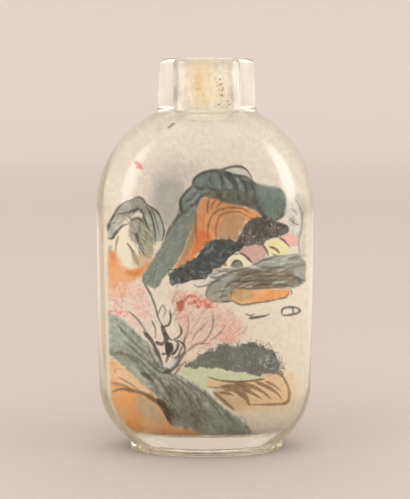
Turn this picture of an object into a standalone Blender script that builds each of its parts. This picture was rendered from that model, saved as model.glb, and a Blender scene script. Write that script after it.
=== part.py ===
"""A flattened glass snuff bottle, painted on the inside: one hollow piece of glass, open at the mouth.

The skin is one closed loft. It starts under the foot, climbs the outside to the lip, turns in at the mouth
and follows the bore and the cavity down to the cavity's floor. Every ring of the loft is a level oval.
The origin is under the middle of the body, level with the foot's underside. +Z is up, X is the width, and
the main face looks to -Y. Made by hand, the bottle isn't quite even: its neck, foot and cavity lie a little
to the right of the body's middle.
"""

import math

import bmesh
import bpy

MM = 0.001  # every size below is in millimetres, turned to metres here

# Outside of the body
HEIGHT = 70.0 * MM
BODY_WIDTH = 38.9 * MM
BODY_DEPTH = 23.6 * MM
BODY_FULLNESS = 2.15  # exponent of the oval section: 2 is an ellipse, more is squarer
SHOULDER_DROP = 16.8 * MM  # from the neck's root down to the full width
SHOULDER_START = math.radians(24.0)  # where on its elliptical quarter the shoulder leaves the neck
HEEL_RISE = 10.5 * MM  # from the top of the foot up to the full width
HEEL_START = math.radians(31.0)  # where on its elliptical quarter the heel leaves the foot
SIDE_TAPER = 0.3 * MM  # how much each side draws in from the shoulder down to the heel
LEAN = 0.3 * MM  # the neck and the foot lie this far to the right of the body's middle

# Neck and mouth
NECK_HEIGHT = 9.6 * MM  # from the shoulder to the lip
LIP_DIAMETER = 16.8 * MM
NECK_ROOT_DIAMETER = 17.8 * MM
NECK_FILLET = 1.0 * MM
NECK_FILLET_TURN = math.radians(65.0)
LIP_ROUND = 0.8 * MM
MOUTH_DIAMETER = 7.8 * MM
MOUTH_CHAMFER = 0.5 * MM

# Foot
FOOT_WIDTH = 27.7 * MM
FOOT_DEPTH = 16.6 * MM
FOOT_HEIGHT = 1.3 * MM
FOOT_BEVEL = 0.15 * MM
FOOT_LEDGE = 0.5 * MM  # step from the foot's side in to the body
FOOT_RING = 2.6 * MM  # width of the flat ring that the bottle stands on
FOOT_RECESS = 0.5 * MM  # how far the middle of the underside is hollowed

# Cavity, ground out through the neck, so that its ends keep more glass than its faces
SIDE_WALL = 3.65 * MM
FACE_WALL = 2.5 * MM
FLOOR_WALL = 2.7 * MM  # glass between the top of the foot and the cavity's floor
BORE_BELOW_NECK = 2.0 * MM  # how far the straight bore runs on below the neck's root
CAVITY_FLOOR_INSET = 5.2 * MM  # from the foot's outline in to the flat of the cavity's floor
CAVITY_SHIFT = 0.3 * MM  # the hand-ground cavity lies this far to the right of the body's middle
CAVITY_FULLNESS = 2.1

# Number of faces
AROUND = 60
CURVE_STEPS = 11
ROUND_STEPS = 4
SIDE_STEPS = 4

GLASS_COLOUR = (0.86, 0.85, 0.72, 1.0)
GLASS_ROUGHNESS = 0.04
GLASS_IOR = 1.5


def ring(half_width, half_depth, level, fullness=2.0, shift=0.0):
    """One level oval of the loft, its middle that far to the right."""
    return {"width": half_width, "depth": half_depth, "level": level, "fullness": fullness, "shift": shift}


def between(start, end, share):
    """The value that lies at that share of the way from start to end."""
    return start + (end - start) * share


def shares(steps):
    """Even shares of a stretch, from 0 to 1."""
    return [i / steps for i in range(steps + 1)]


def foot_rings():
    """The hollow under the foot, the ring that it stands on and the foot's side."""
    half_width = FOOT_WIDTH / 2
    half_depth = FOOT_DEPTH / 2
    hollow_width = half_width - FOOT_RING
    hollow_depth = half_depth - FOOT_RING
    full = BODY_FULLNESS
    return [
        ring(hollow_width - FOOT_RECESS, hollow_depth - FOOT_RECESS, FOOT_RECESS, full, LEAN),
        ring(hollow_width, hollow_depth, 0.0, full, LEAN),
        ring(half_width - FOOT_BEVEL, half_depth - FOOT_BEVEL, 0.0, full, LEAN),
        ring(half_width, half_depth, FOOT_BEVEL, full, LEAN),
        ring(half_width, half_depth, FOOT_HEIGHT - FOOT_BEVEL, full, LEAN),
        ring(half_width - FOOT_BEVEL, half_depth - FOOT_BEVEL, FOOT_HEIGHT, full, LEAN),
    ]


def heel_rings():
    """The rounded lower edge of the body: part of an elliptical quarter from the foot out to the side."""
    crease_width = FOOT_WIDTH / 2 - FOOT_LEDGE
    crease_depth = FOOT_DEPTH / 2 - FOOT_LEDGE
    low_width = BODY_WIDTH / 2 - SIDE_TAPER
    low_depth = BODY_DEPTH / 2 - SIDE_TAPER
    drop = HEEL_RISE / math.cos(HEEL_START)
    rings = []
    for share in shares(CURVE_STEPS):
        angle = between(HEEL_START, math.pi / 2, share)
        out = (math.sin(angle) - math.sin(HEEL_START)) / (1 - math.sin(HEEL_START))
        level = FOOT_HEIGHT + HEEL_RISE - drop * math.cos(angle)
        rings.append(ring(between(crease_width, low_width, out), between(crease_depth, low_depth, out),
                          level, BODY_FULLNESS, between(LEAN, 0.0, out)))
    return rings


def neck_root():
    """Level of the shoulder's top, and radius of the neck where its fillet ends there."""
    radius = NECK_ROOT_DIAMETER / 2 + NECK_FILLET * (1 - math.cos(NECK_FILLET_TURN))
    return HEIGHT - NECK_HEIGHT, radius


def side_rings():
    """The nearly upright sides between the heel and the shoulder, which draw in a little downwards."""
    low = FOOT_HEIGHT + HEEL_RISE
    high = neck_root()[0] - SHOULDER_DROP
    rings = []
    for share in shares(SIDE_STEPS)[1:-1]:
        draw_in = SIDE_TAPER * (1 - share) ** 2
        rings.append(ring(BODY_WIDTH / 2 - draw_in, BODY_DEPTH / 2 - draw_in, between(low, high, share),
                          BODY_FULLNESS))
    return rings


def shoulder_rings():
    """Part of an elliptical quarter from the side in to the neck, whose section turns round on the way."""
    root_level, root_radius = neck_root()
    rise = SHOULDER_DROP / math.cos(SHOULDER_START)
    rings = []
    for share in shares(CURVE_STEPS):
        angle = between(math.pi / 2, SHOULDER_START, share)
        out = (math.sin(angle) - math.sin(SHOULDER_START)) / (1 - math.sin(SHOULDER_START))
        level = root_level - SHOULDER_DROP + rise * math.cos(angle)
        half_width = between(root_radius, BODY_WIDTH / 2, out)
        half_depth = between(root_radius, BODY_DEPTH / 2, out)
        rings.append(ring(half_width, half_depth, level, between(2.0, BODY_FULLNESS, out),
                          between(LEAN, 0.0, out)))
    return rings


def neck_rings():
    """The fillet at the neck's root, the slightly conical neck, and the rounded lip with its flat top."""
    root_level, _ = neck_root()
    root_radius = NECK_ROOT_DIAMETER / 2
    lip_radius = LIP_DIAMETER / 2
    fillet_top = root_level + NECK_FILLET * math.sin(NECK_FILLET_TURN)
    rings = []
    for share in shares(ROUND_STEPS)[1:]:
        turn = between(NECK_FILLET_TURN, 0.0, share)
        radius = root_radius + NECK_FILLET * (1 - math.cos(turn))
        rings.append(ring(radius, radius, fillet_top - NECK_FILLET * math.sin(turn), shift=LEAN))
    for share in shares(ROUND_STEPS):
        turn = between(0.0, math.pi / 2, share)
        radius = lip_radius - LIP_ROUND * (1 - math.cos(turn))
        rings.append(ring(radius, radius, HEIGHT - LIP_ROUND + LIP_ROUND * math.sin(turn), shift=LEAN))
    return rings


def bore_rings():
    """The chamfered mouth and the straight bore down through the neck."""
    bore = MOUTH_DIAMETER / 2
    end = neck_root()[0] - BORE_BELOW_NECK
    return [
        ring(bore + MOUTH_CHAMFER, bore + MOUTH_CHAMFER, HEIGHT, shift=LEAN),
        ring(bore, bore, HEIGHT - MOUTH_CHAMFER, shift=LEAN),
        ring(bore, bore, between(HEIGHT - MOUTH_CHAMFER, end, 0.5), shift=LEAN),
    ]


def cavity_rings():
    """The hollow: an elliptical quarter out under the shoulder, upright walls, a quarter in to the floor."""
    bore = MOUTH_DIAMETER / 2
    half_width = BODY_WIDTH / 2 - SIDE_WALL
    half_depth = BODY_DEPTH / 2 - FACE_WALL
    floor_width = FOOT_WIDTH / 2 - CAVITY_FLOOR_INSET
    floor_depth = FOOT_DEPTH / 2 - CAVITY_FLOOR_INSET
    top = neck_root()[0] - BORE_BELOW_NECK
    high = neck_root()[0] - SHOULDER_DROP
    low = FOOT_HEIGHT + HEEL_RISE
    floor = FOOT_HEIGHT + FLOOR_WALL
    rings = []
    for share in shares(CURVE_STEPS):
        angle = between(0.0, math.pi / 2, share)
        out = math.sin(angle)
        rings.append(ring(between(bore, half_width, out), between(bore, half_depth, out),
                          high + (top - high) * math.cos(angle), between(2.0, CAVITY_FULLNESS, out),
                          between(LEAN, CAVITY_SHIFT, out)))
    for share in shares(SIDE_STEPS)[1:]:
        draw_in = SIDE_TAPER * share ** 2
        rings.append(ring(half_width - draw_in, half_depth - draw_in, between(high, low, share),
                          CAVITY_FULLNESS, CAVITY_SHIFT))
    for share in shares(CURVE_STEPS)[1:]:
        angle = between(math.pi / 2, 0.0, share)
        out = math.sin(angle)
        rings.append(ring(between(floor_width, half_width - SIDE_TAPER, out),
                          between(floor_depth, half_depth - SIDE_TAPER, out),
                          low - (low - floor) * math.cos(angle), CAVITY_FULLNESS, CAVITY_SHIFT))
    return rings


def oval_point(oval, turn):
    """The point of a level oval at that turn from +X: a superellipse of the oval's fullness."""
    power = 2.0 / oval["fullness"]
    x = math.copysign(abs(math.cos(turn)) ** power, math.cos(turn)) * oval["width"]
    y = math.copysign(abs(math.sin(turn)) ** power, math.sin(turn)) * oval["depth"]
    return x + oval["shift"], y, oval["level"]


def loft(name, ovals):
    """A closed skin through the ovals in their order, with a flat cap on the first and on the last."""
    skin = bmesh.new()
    turns = [2 * math.pi * i / AROUND for i in range(AROUND)]
    loops = [[skin.verts.new(oval_point(oval, turn)) for turn in turns] for oval in ovals]
    for below, above in zip(loops, loops[1:]):
        for i in range(AROUND):
            j = (i + 1) % AROUND
            skin.faces.new((below[i], below[j], above[j], above[i]))
    skin.faces.new(list(reversed(loops[0])))
    skin.faces.new(loops[-1])
    bmesh.ops.recalc_face_normals(skin, faces=skin.faces)
    mesh = bpy.data.meshes.new(name)
    skin.to_mesh(mesh)
    skin.free()
    mesh.shade_smooth()
    mesh.set_sharp_from_angle(angle=math.radians(40.0))
    return mesh


def glass():
    """Clear glass with a pale straw tint."""
    material = bpy.data.materials.new("pale_glass")
    material.use_nodes = True
    shader = material.node_tree.nodes["Principled BSDF"]
    shader.inputs["Base Color"].default_value = GLASS_COLOUR
    shader.inputs["Roughness"].default_value = GLASS_ROUGHNESS
    shader.inputs["Metallic"].default_value = 0.0
    shader.inputs["IOR"].default_value = GLASS_IOR
    shader.inputs["Transmission Weight"].default_value = 1.0
    return material


def main():
    for old in list(bpy.data.objects):
        bpy.data.objects.remove(old)
    outside = foot_rings() + heel_rings() + side_rings() + shoulder_rings() + neck_rings()
    inside = bore_rings() + cavity_rings()
    bottle = bpy.data.objects.new("bottle", loft("bottle", outside + inside))
    bottle.data.materials.append(glass())
    bpy.context.scene.collection.objects.link(bottle)


main()
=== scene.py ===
import math

import bmesh
import bpy
import numpy as np
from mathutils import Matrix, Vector


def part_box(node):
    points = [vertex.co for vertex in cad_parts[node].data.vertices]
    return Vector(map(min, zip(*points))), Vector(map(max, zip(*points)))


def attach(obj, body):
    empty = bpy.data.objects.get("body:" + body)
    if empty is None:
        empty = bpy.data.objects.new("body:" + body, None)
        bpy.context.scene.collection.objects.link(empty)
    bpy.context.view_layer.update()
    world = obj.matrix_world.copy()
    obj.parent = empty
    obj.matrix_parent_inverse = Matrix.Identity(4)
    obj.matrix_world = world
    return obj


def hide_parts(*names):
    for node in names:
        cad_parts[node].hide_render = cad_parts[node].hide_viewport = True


mm = 0.001
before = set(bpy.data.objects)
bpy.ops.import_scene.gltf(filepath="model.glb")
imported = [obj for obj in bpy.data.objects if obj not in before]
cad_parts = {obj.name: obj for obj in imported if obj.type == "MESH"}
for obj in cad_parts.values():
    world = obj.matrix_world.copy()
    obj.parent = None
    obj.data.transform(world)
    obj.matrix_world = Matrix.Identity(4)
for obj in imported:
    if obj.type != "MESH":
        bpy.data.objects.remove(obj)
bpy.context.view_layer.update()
bottleLow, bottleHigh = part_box("bottle")
print("frame loaded")


# The bottle's sizes in millimetres. The first three are read from the frame.
bottle = {
    "width": (bottleHigh.x - bottleLow.x) / mm,
    "depth": (bottleHigh.y - bottleLow.y) / mm,
    "height": (bottleHigh.z - bottleLow.z) / mm,
    "fullness": 2.15,
    "shoulderDrop": 16.8,
    "shoulderStart": math.radians(24.0),
    "heelRise": 10.5,
    "heelStart": math.radians(31.0),
    "sideTaper": 0.3,
    "lean": 0.3,
    "neckHeight": 9.6,
    "lipDiameter": 16.8,
    "neckRootDiameter": 17.8,
    "neckFillet": 1.0,
    "neckFilletTurn": math.radians(65.0),
    "lipRound": 0.8,
    "mouthDiameter": 7.8,
    "mouthChamfer": 0.5,
    "footWidth": 27.7,
    "footDepth": 16.6,
    "footHeight": 1.3,
    "footBevel": 0.15,
    "footLedge": 0.5,
    "footRing": 2.6,
    "footRecess": 0.5,
    "sideWall": 3.65,
    "faceWall": 2.5,
    "floorWall": 2.7,
    "boreBelowNeck": 2.0,
    "floorInset": 5.2,
    "cavityShift": 0.3,
    "cavityFullness": 2.1,
}


def stretch(start, end, steps):
    # Even steps from start to end, without the end itself
    return start + (end - start) * np.arange(steps) / steps


def rows(halfWidth, halfDepth, level, fullness, shift):
    # Level ovals, one to a row: half width, half depth, height, exponent, and the middle's way to the right
    columns = np.broadcast_arrays(*map(np.atleast_1d, (halfWidth, halfDepth, level, fullness, shift)))
    return np.stack(columns, 1).astype(float)


def roundCorner(startRow, cornerRow, endRow, steps):
    # A parabola from start to end that the corner pulls: (1-t)^2 start + 2t(1-t) corner + t^2 end
    t = np.linspace(0, 1, steps)[:, None]
    return (1 - t) ** 2 * startRow + 2 * t * (1 - t) * cornerRow + t ** 2 * endRow


def neckRoot():
    # Where the fillet meets the shoulder: height - neckHeight, and root radius + fillet (1 - cos turn)
    b = bottle
    radius = b["neckRootDiameter"] / 2 + b["neckFillet"] * (1 - math.cos(b["neckFilletTurn"]))
    return b["height"] - b["neckHeight"], radius


def outsideRows():
    # Foot, heel, side, shoulder, neck and lip, from the middle of the underside up to the mouth
    b = bottle
    full, lean = b["fullness"], b["lean"]
    footWidth, footDepth = b["footWidth"] / 2, b["footDepth"] / 2
    ringWidth, ringDepth = footWidth - b["footRing"], footDepth - b["footRing"]
    recess, bevel, footTop, crease = b["footRecess"], b["footBevel"], b["footHeight"], b["footLedge"]
    parts = []
    share = stretch(0.001, 0.96, 24)
    parts.append(rows((ringWidth - recess) * share, (ringDepth - recess) * share, recess, full, lean))
    hollowEdge = rows(ringWidth - recess, ringDepth - recess, recess, full, lean)[0]
    landEdge = rows(ringWidth, ringDepth, 0, full, lean)[0]
    parts.append(roundCorner(hollowEdge * [0.96, 0.96, 1, 1, 1], hollowEdge, (hollowEdge + landEdge) / 2,
                             5))
    parts.append(roundCorner(hollowEdge * 0.4 + landEdge * 0.6, landEdge, landEdge + [0.4, 0.4, 0, 0, 0],
                             5))
    land = stretch(0.6, b["footRing"] - bevel, 5)
    parts.append(rows(ringWidth + land, ringDepth + land, 0, full, lean))
    outerEdge = rows(footWidth, footDepth, 0, full, lean)[0]
    parts.append(roundCorner(outerEdge - [bevel, bevel, 0, 0, 0], outerEdge, outerEdge + [0, 0, bevel, 0, 0],
                             6))
    parts.append(rows(footWidth, footDepth, stretch(bevel * 1.5, footTop - bevel, 5), full, lean))
    topEdge = rows(footWidth, footDepth, footTop, full, lean)[0]
    parts.append(roundCorner(topEdge - [0, 0, bevel, 0, 0], topEdge, topEdge - [bevel, bevel, 0, 0, 0], 6))
    angle = np.linspace(b["heelStart"], math.pi / 2, 44)
    out = (np.sin(angle) - math.sin(b["heelStart"])) / (1 - math.sin(b["heelStart"]))
    lowWidth, lowDepth = b["width"] / 2 - b["sideTaper"], b["depth"] / 2 - b["sideTaper"]
    parts.append(rows(
        footWidth - crease + (lowWidth - footWidth + crease) * out,
        footDepth - crease + (lowDepth - footDepth + crease) * out,
        footTop + b["heelRise"] * (1 - np.cos(angle) / math.cos(b["heelStart"])), full, lean * (1 - out)))
    rootLevel, rootRadius = neckRoot()
    high, low = rootLevel - b["shoulderDrop"], footTop + b["heelRise"]
    share = stretch(0, 1, 36)[1:]
    drawIn = b["sideTaper"] * (1 - share) ** 2
    parts.append(rows(b["width"] / 2 - drawIn, b["depth"] / 2 - drawIn, low + (high - low) * share, full,
                      0))
    angle = np.linspace(math.pi / 2, b["shoulderStart"], 48)
    out = (np.sin(angle) - math.sin(b["shoulderStart"])) / (1 - math.sin(b["shoulderStart"]))
    parts.append(rows(
        rootRadius + (b["width"] / 2 - rootRadius) * out, rootRadius + (b["depth"] / 2 - rootRadius) * out,
        high + b["shoulderDrop"] * np.cos(angle) / math.cos(b["shoulderStart"]),
        2 + (full - 2) * out, lean * (1 - out)))
    turn = np.linspace(b["neckFilletTurn"], 0, 12)[1:]
    radius = b["neckRootDiameter"] / 2 + b["neckFillet"] * (1 - np.cos(turn))
    filletTop = rootLevel + b["neckFillet"] * math.sin(b["neckFilletTurn"])
    parts.append(rows(radius, radius, filletTop - b["neckFillet"] * np.sin(turn), 2, lean))
    lipLevel, lipRadius = b["height"] - b["lipRound"], b["lipDiameter"] / 2
    share = stretch(0, 1, 16)[1:]
    radius = b["neckRootDiameter"] / 2 + (lipRadius - b["neckRootDiameter"] / 2) * share
    parts.append(rows(radius, radius, filletTop + (lipLevel - filletTop) * share, 2, lean))
    turn = np.linspace(0, math.pi / 2, 14)
    radius = lipRadius - b["lipRound"] * (1 - np.cos(turn))
    parts.append(rows(radius, radius, lipLevel + b["lipRound"] * np.sin(turn), 2, lean))
    radius = stretch(lipRadius - b["lipRound"], b["mouthDiameter"] / 2 + b["mouthChamfer"] * 1.6, 8)[1:]
    parts.append(rows(radius, radius, b["height"], 2, lean))
    return np.concatenate(parts)


def boreRows():
    # The rounded edge of the mouth and the bore down to its lower end
    b = bottle
    bore, chamfer, lean = b["mouthDiameter"] / 2, b["mouthChamfer"], b["lean"]
    flat = rows(bore + chamfer * 1.6, bore + chamfer * 1.6, b["height"], 2, lean)[0]
    edge = rows(bore, bore, b["height"], 2, lean)[0]
    wall = rows(bore, bore, b["height"] - chamfer * 1.6, 2, lean)[0]
    level = stretch(b["height"] - chamfer * 1.6, neckRoot()[0] - b["boreBelowNeck"], 26)[1:]
    return np.concatenate([roundCorner(flat, edge, wall, 12), rows(bore, bore, level, 2, lean)])


def cavityRows(roofSteps, sideSteps, heelSteps, floorSteps):
    # The cavity from the bore's end out, down the sides and in over the floor
    b = bottle
    bore, full, shift = b["mouthDiameter"] / 2, b["cavityFullness"], b["cavityShift"]
    halfWidth, halfDepth = b["width"] / 2 - b["sideWall"], b["depth"] / 2 - b["faceWall"]
    top, high = neckRoot()[0] - b["boreBelowNeck"], neckRoot()[0] - b["shoulderDrop"]
    low, floor = b["footHeight"] + b["heelRise"], b["footHeight"] + b["floorWall"]
    floorWidth, floorDepth = b["footWidth"] / 2 - b["floorInset"], b["footDepth"] / 2 - b["floorInset"]
    angle = stretch(0, math.pi / 2, roofSteps)
    out = np.sin(angle)
    roof = rows(bore + (halfWidth - bore) * out, bore + (halfDepth - bore) * out,
                high + (top - high) * np.cos(angle), 2 + (full - 2) * out,
                b["lean"] + (shift - b["lean"]) * out)
    share = stretch(0, 1, sideSteps)
    drawIn = b["sideTaper"] * share ** 2
    side = rows(halfWidth - drawIn, halfDepth - drawIn, high + (low - high) * share, full, shift)
    angle = stretch(math.pi / 2, 0, heelSteps)
    out = np.sin(angle)
    heel = rows(floorWidth + (halfWidth - b["sideTaper"] - floorWidth) * out,
                floorDepth + (halfDepth - b["sideTaper"] - floorDepth) * out,
                low - (low - floor) * np.cos(angle), full, shift)
    share = np.linspace(1, 0.001, floorSteps)
    return np.concatenate([roof, side, heel, rows(floorWidth * share, floorDepth * share, floor, full,
                                                  shift)])


def ovalGrid(ovals, turns):
    # Superellipse points: x = shift + halfWidth |cos|^(2/n), y = halfDepth |sin|^(2/n), with their signs
    width, depth, level, fullness, shift = (ovals[:, i:i + 1] for i in range(5))
    c, s = np.cos(turns)[None, :], np.sin(turns)[None, :]
    x = shift + width * np.sign(c) * np.abs(c) ** (2 / fullness)
    y = depth * np.sign(s) * np.abs(s) ** (2 / fullness)
    return np.stack([x, y, np.broadcast_to(level, x.shape)], 2)


def gridMesh(name, points, closedAround):
    # A mesh of quads over a grid of points in millimetres, whose columns may close into a ring
    rowCount, columnCount = points.shape[:2]
    index = np.arange(rowCount * columnCount).reshape(rowCount, columnCount)
    right = np.roll(index, -1, 1) if closedAround else index[:, 1:]
    left = index if closedAround else index[:, :-1]
    quads = np.stack([left[:-1], right[:-1], right[1:], left[1:]], 2).reshape(-1, 4)
    mesh = bpy.data.meshes.new(name)
    mesh.vertices.add(index.size)
    mesh.vertices.foreach_set("co", (points.reshape(-1) * mm).astype(np.float32))
    mesh.loops.add(quads.size)
    mesh.loops.foreach_set("vertex_index", quads.reshape(-1).astype(np.int32))
    mesh.polygons.add(len(quads))
    mesh.polygons.foreach_set("loop_start", np.arange(0, quads.size, 4, dtype=np.int32))
    mesh.polygons.foreach_set("use_smooth", np.ones(len(quads), bool))
    mesh.update(calc_edges=True)
    mesh.validate()
    return mesh


def closePoles(mesh, firstRing, lastRing):
    # Flat caps over the first and last ring, and every face turned outwards
    work = bmesh.new()
    work.from_mesh(mesh)
    work.verts.ensure_lookup_table()
    for ring in (firstRing, lastRing):
        cap = work.faces.new([work.verts[int(i)] for i in ring])
        cap.smooth = True
    bmesh.ops.recalc_face_normals(work, faces=work.faces)
    work.to_mesh(mesh)
    work.free()


def addPiece(name, mesh, material):
    # A finished mesh becomes a piece that rides on the bottle
    piece = bpy.data.objects.new(name, mesh)
    bpy.context.scene.collection.objects.link(piece)
    mesh.materials.append(material)
    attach(piece, "root")
    return piece


def newMaterial(name):
    # An empty node material
    material = bpy.data.materials.new(name)
    material.use_nodes = True
    nodes = material.node_tree.nodes
    nodes.clear()
    return material, nodes, material.node_tree.links


def mapRange(nodes, fromMin, fromMax, toMin=0.0, toMax=1.0, smooth=True):
    # fromMin becomes toMin and fromMax becomes toMax, eased where it is smooth
    node = nodes.new("ShaderNodeMapRange")
    node.interpolation_type = "SMOOTHSTEP" if smooth else "LINEAR"
    node.inputs["From Min"].default_value = fromMin
    node.inputs["From Max"].default_value = fromMax
    node.inputs["To Min"].default_value = toMin
    node.inputs["To Max"].default_value = toMax
    return node


def calculation(nodes, kind, operation):
    # A Math or Vector Math node set to one operation
    node = nodes.new(kind)
    node.operation = operation
    return node


def colourMix(nodes, first, second):
    # Factor 0 gives the first colour, factor 1 the second
    node = nodes.new("ShaderNodeMix")
    node.data_type = "RGBA"
    node.inputs[6].default_value = first
    node.inputs[7].default_value = second
    return node


glassLook = {
    "ior": 1.5,
    "roughness": 0.12,
    "tint": (0.96, 0.955, 0.66, 1.0),
    "tintDensity": 17.0,
    "wave": 0.03,
    "waveSize": 7.0,
    "waveFrom": (4, 10),
    "waveTo": (52, 57),
    "columns": 240,
    "cavitySteps": (40, 30, 40, 10),
}


def glassMaterial():
    # Clear glass by plain values, with a faint yellow that deepens with the way through it
    material, nodes, links = newMaterial("paleGlass")
    output = nodes.new("ShaderNodeOutputMaterial")
    shader = nodes.new("ShaderNodeBsdfPrincipled")
    shader.inputs["Base Color"].default_value = (1, 1, 1, 1)
    shader.inputs["Roughness"].default_value = glassLook["roughness"]
    shader.inputs["IOR"].default_value = glassLook["ior"]
    shader.inputs["Transmission Weight"].default_value = 1.0
    absorb = nodes.new("ShaderNodeVolumeAbsorption")
    absorb.inputs["Color"].default_value = glassLook["tint"]
    absorb.inputs["Density"].default_value = glassLook["tintDensity"]
    links.new(shader.outputs["BSDF"], output.inputs["Surface"])
    links.new(absorb.outputs["Volume"], output.inputs["Volume"])
    return material


def wavy(points, outside):
    # Hand-finished faces: x and y times 1 - wave * cloud / distance from the axis, less at neck and foot
    x, y, z = (points[:outside, :, i] for i in range(3))
    side = ease(z, *glassLook["waveFrom"]) * (1 - ease(z, *glassLook["waveTo"]))
    dent = glassLook["wave"] * side * cloud(x + np.where(y > 0, 50, 0), z, glassLook["waveSize"], 12)
    points[:outside, :, :2] *= (1 - dent / np.maximum(np.hypot(x, y), 1))[..., None]
    return points


def buildGlass():
    # One skin from the underside over the outside, in at the mouth and down to the cavity's floor
    outside = outsideRows()
    ovals = np.concatenate([outside, boreRows(), cavityRows(*glassLook["cavitySteps"])])
    columns = glassLook["columns"]
    points = wavy(ovalGrid(ovals, 2 * math.pi * np.arange(columns) / columns), len(outside))
    mesh = gridMesh("glassBottle", points, True)
    ring = np.arange(columns)
    closePoles(mesh, ring, ring + (len(ovals) - 1) * columns)
    piece = addPiece("glassBottle", mesh, glassMaterial())
    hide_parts("bottle")
    print("glass built,", len(mesh.polygons), "faces")


lining = {
    "intoGlass": 0.03,
    "lowEdge": 4.0,
    "lowFade": 1.5,
    "bands": 2,
    "glow": 0.5,
    "roughness": 0.7,
    "speckle": 1400.0,
    "speckleFrom": 0.3,
    "speckleTo": 0.7,
    "speckleDepth": 0.05,
}


def liningMaterial():
    # Paint and ground glass: (1 - glow) matte + glow translucent, both in the colour of the attribute "paint"
    material, nodes, links = newMaterial("paintOnFrost")
    output = nodes.new("ShaderNodeOutputMaterial")
    attribute = nodes.new("ShaderNodeAttribute")
    attribute.attribute_name = "paint"
    matte = nodes.new("ShaderNodeBsdfPrincipled")
    matte.inputs["Roughness"].default_value = lining["roughness"]
    matte.inputs["Specular IOR Level"].default_value = 0.0
    through = nodes.new("ShaderNodeBsdfTranslucent")
    mix = nodes.new("ShaderNodeMixShader")
    mix.inputs["Fac"].default_value = lining["glow"]
    # The frost's own fine grain, as a factor of 1 - depth to 1 + depth on the painted colours
    place = nodes.new("ShaderNodeTexCoord")
    speckle = nodes.new("ShaderNodeTexNoise")
    speckle.inputs["Scale"].default_value = lining["speckle"]
    speckle.inputs["Detail"].default_value = 4.0
    depth = lining["speckleDepth"]
    spread = mapRange(nodes, lining["speckleFrom"], lining["speckleTo"], 1 - depth, 1 + depth, smooth=False)
    tone = calculation(nodes, "ShaderNodeVectorMath", "SCALE")
    links.new(place.outputs["Object"], speckle.inputs["Vector"])
    links.new(speckle.outputs["Fac"], spread.inputs["Value"])
    links.new(attribute.outputs["Color"], tone.inputs[0])
    links.new(spread.outputs["Result"], tone.inputs["Scale"])
    links.new(tone.outputs["Vector"], matte.inputs["Base Color"])
    links.new(tone.outputs["Vector"], through.inputs["Color"])
    links.new(matte.outputs["BSDF"], mix.inputs[1])
    links.new(through.outputs["BSDF"], mix.inputs[2])
    links.new(mix.outputs["Shader"], output.inputs["Surface"])
    return material


def coveredMaterial(name):
    # The same ground glass where it thins out: the attribute "cover" is the share of it that there is
    material = liningMaterial()
    material.name = name + "Frost"
    nodes, links = material.node_tree.nodes, material.node_tree.links
    output = nodes["Material Output"]
    solid = output.inputs["Surface"].links[0].from_socket
    cover = nodes.new("ShaderNodeAttribute")
    cover.attribute_name = "cover"
    clear = nodes.new("ShaderNodeBsdfTransparent")
    mix = nodes.new("ShaderNodeMixShader")
    links.new(cover.outputs["Fac"], mix.inputs["Fac"])
    links.new(clear.outputs["BSDF"], mix.inputs[1])
    links.new(solid, mix.inputs[2])
    links.new(mix.outputs["Shader"], output.inputs["Surface"])
    return material


# Paint is laid on an array of points, each with a place on the flat plan (across, up; mm) and a colour as it
# looks through the glass, 0 to 255. Level lines of the plan sink towards the sides, where the wall lies back.
plan = {
    "sink": 1 / 240,
    "levelHeight": 60.7,
    "frostHigh": (229, 211, 188),
    "frostLow": (230, 207, 179),
    # The bare frost's albedo is lower higher up: painted shade that evens out the stronger light on the upper body
    # and shoulder
    "albedoLow": (0.99, 0.912, 0.8),
    "shadedAlbedoHigh": (0.83, 0.738, 0.63),
    "paintedShadeFrom": 34,
    "paintedShadeTo": 56,
    "veilLow": 0.034,
    "veilHigh": 0.1,
    "veilFrom": 6,
    "veilTo": 32,
    "trapped": 0.12,
    "contrast": 0.22,
    "grain": 0.16,
    "edgeAcross": (0, 4, 8, 12, 13.6, 14.6, 15.6),
    "edgeUp": (4.2, 4.3, 4.9, 5.9, 7.1, 9.2, 11),
    "edgeSoft": (-0.3, 1.1),
    "seamSoft": (0.1, 1.1),
}


def newSheet(points, front):
    # across = x, up = z + (y - front) * (levelHeight - z) * sink
    x, y, z = (points[..., i].reshape(-1) for i in range(3))
    up = z + np.abs(y - front) * (plan["levelHeight"] - z) * plan["sink"]
    share = np.clip(up / 60, 0, 1)[:, None]
    colour = np.array(plan["frostLow"]) * (1 - share) + np.array(plan["frostHigh"]) * share
    colour = colour * (1 + 0.03 * (cloud(x, up, 2.5, 3) - 0.5))[:, None]
    return {"x": x, "up": up, "side": np.abs(y), "colour": colour}


def noise(x, y, size, seed):
    # A lattice of that size, each point with a random share of 1, eased by 3t^2 - 2t^3 between them
    gx, gy = x / size + seed * 17.3, y / size + seed * 5.7
    ix, iy = np.floor(gx), np.floor(gy)
    fx, fy = gx - ix, gy - iy
    fx, fy = fx * fx * (3 - 2 * fx), fy * fy * (3 - 2 * fy)

    def corner(dx, dy):
        value = np.sin((ix + dx) * 127.1 + (iy + dy) * 311.7 + seed * 74.7) * 43758.5453
        return value - np.floor(value)

    low = corner(0, 0) * (1 - fx) + corner(1, 0) * fx
    high = corner(0, 1) * (1 - fx) + corner(1, 1) * fx
    return low * (1 - fy) + high * fy


def cloud(x, y, size, seed):
    # Three sizes of noise, each about half as large and half as strong as the one before
    coarse, middle = noise(x, y, size, seed), noise(x, y, size / 2.1, seed + 1)
    return 0.55 * coarse + 0.3 * middle + 0.15 * noise(x, y, size / 4.3, seed + 2)


def ease(value, low, high):
    # 0 below low, 1 above high, and 3t^2 - 2t^3 between
    t = np.clip((value - low) / (high - low), 0, 1)
    return t * t * (3 - 2 * t)


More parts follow.
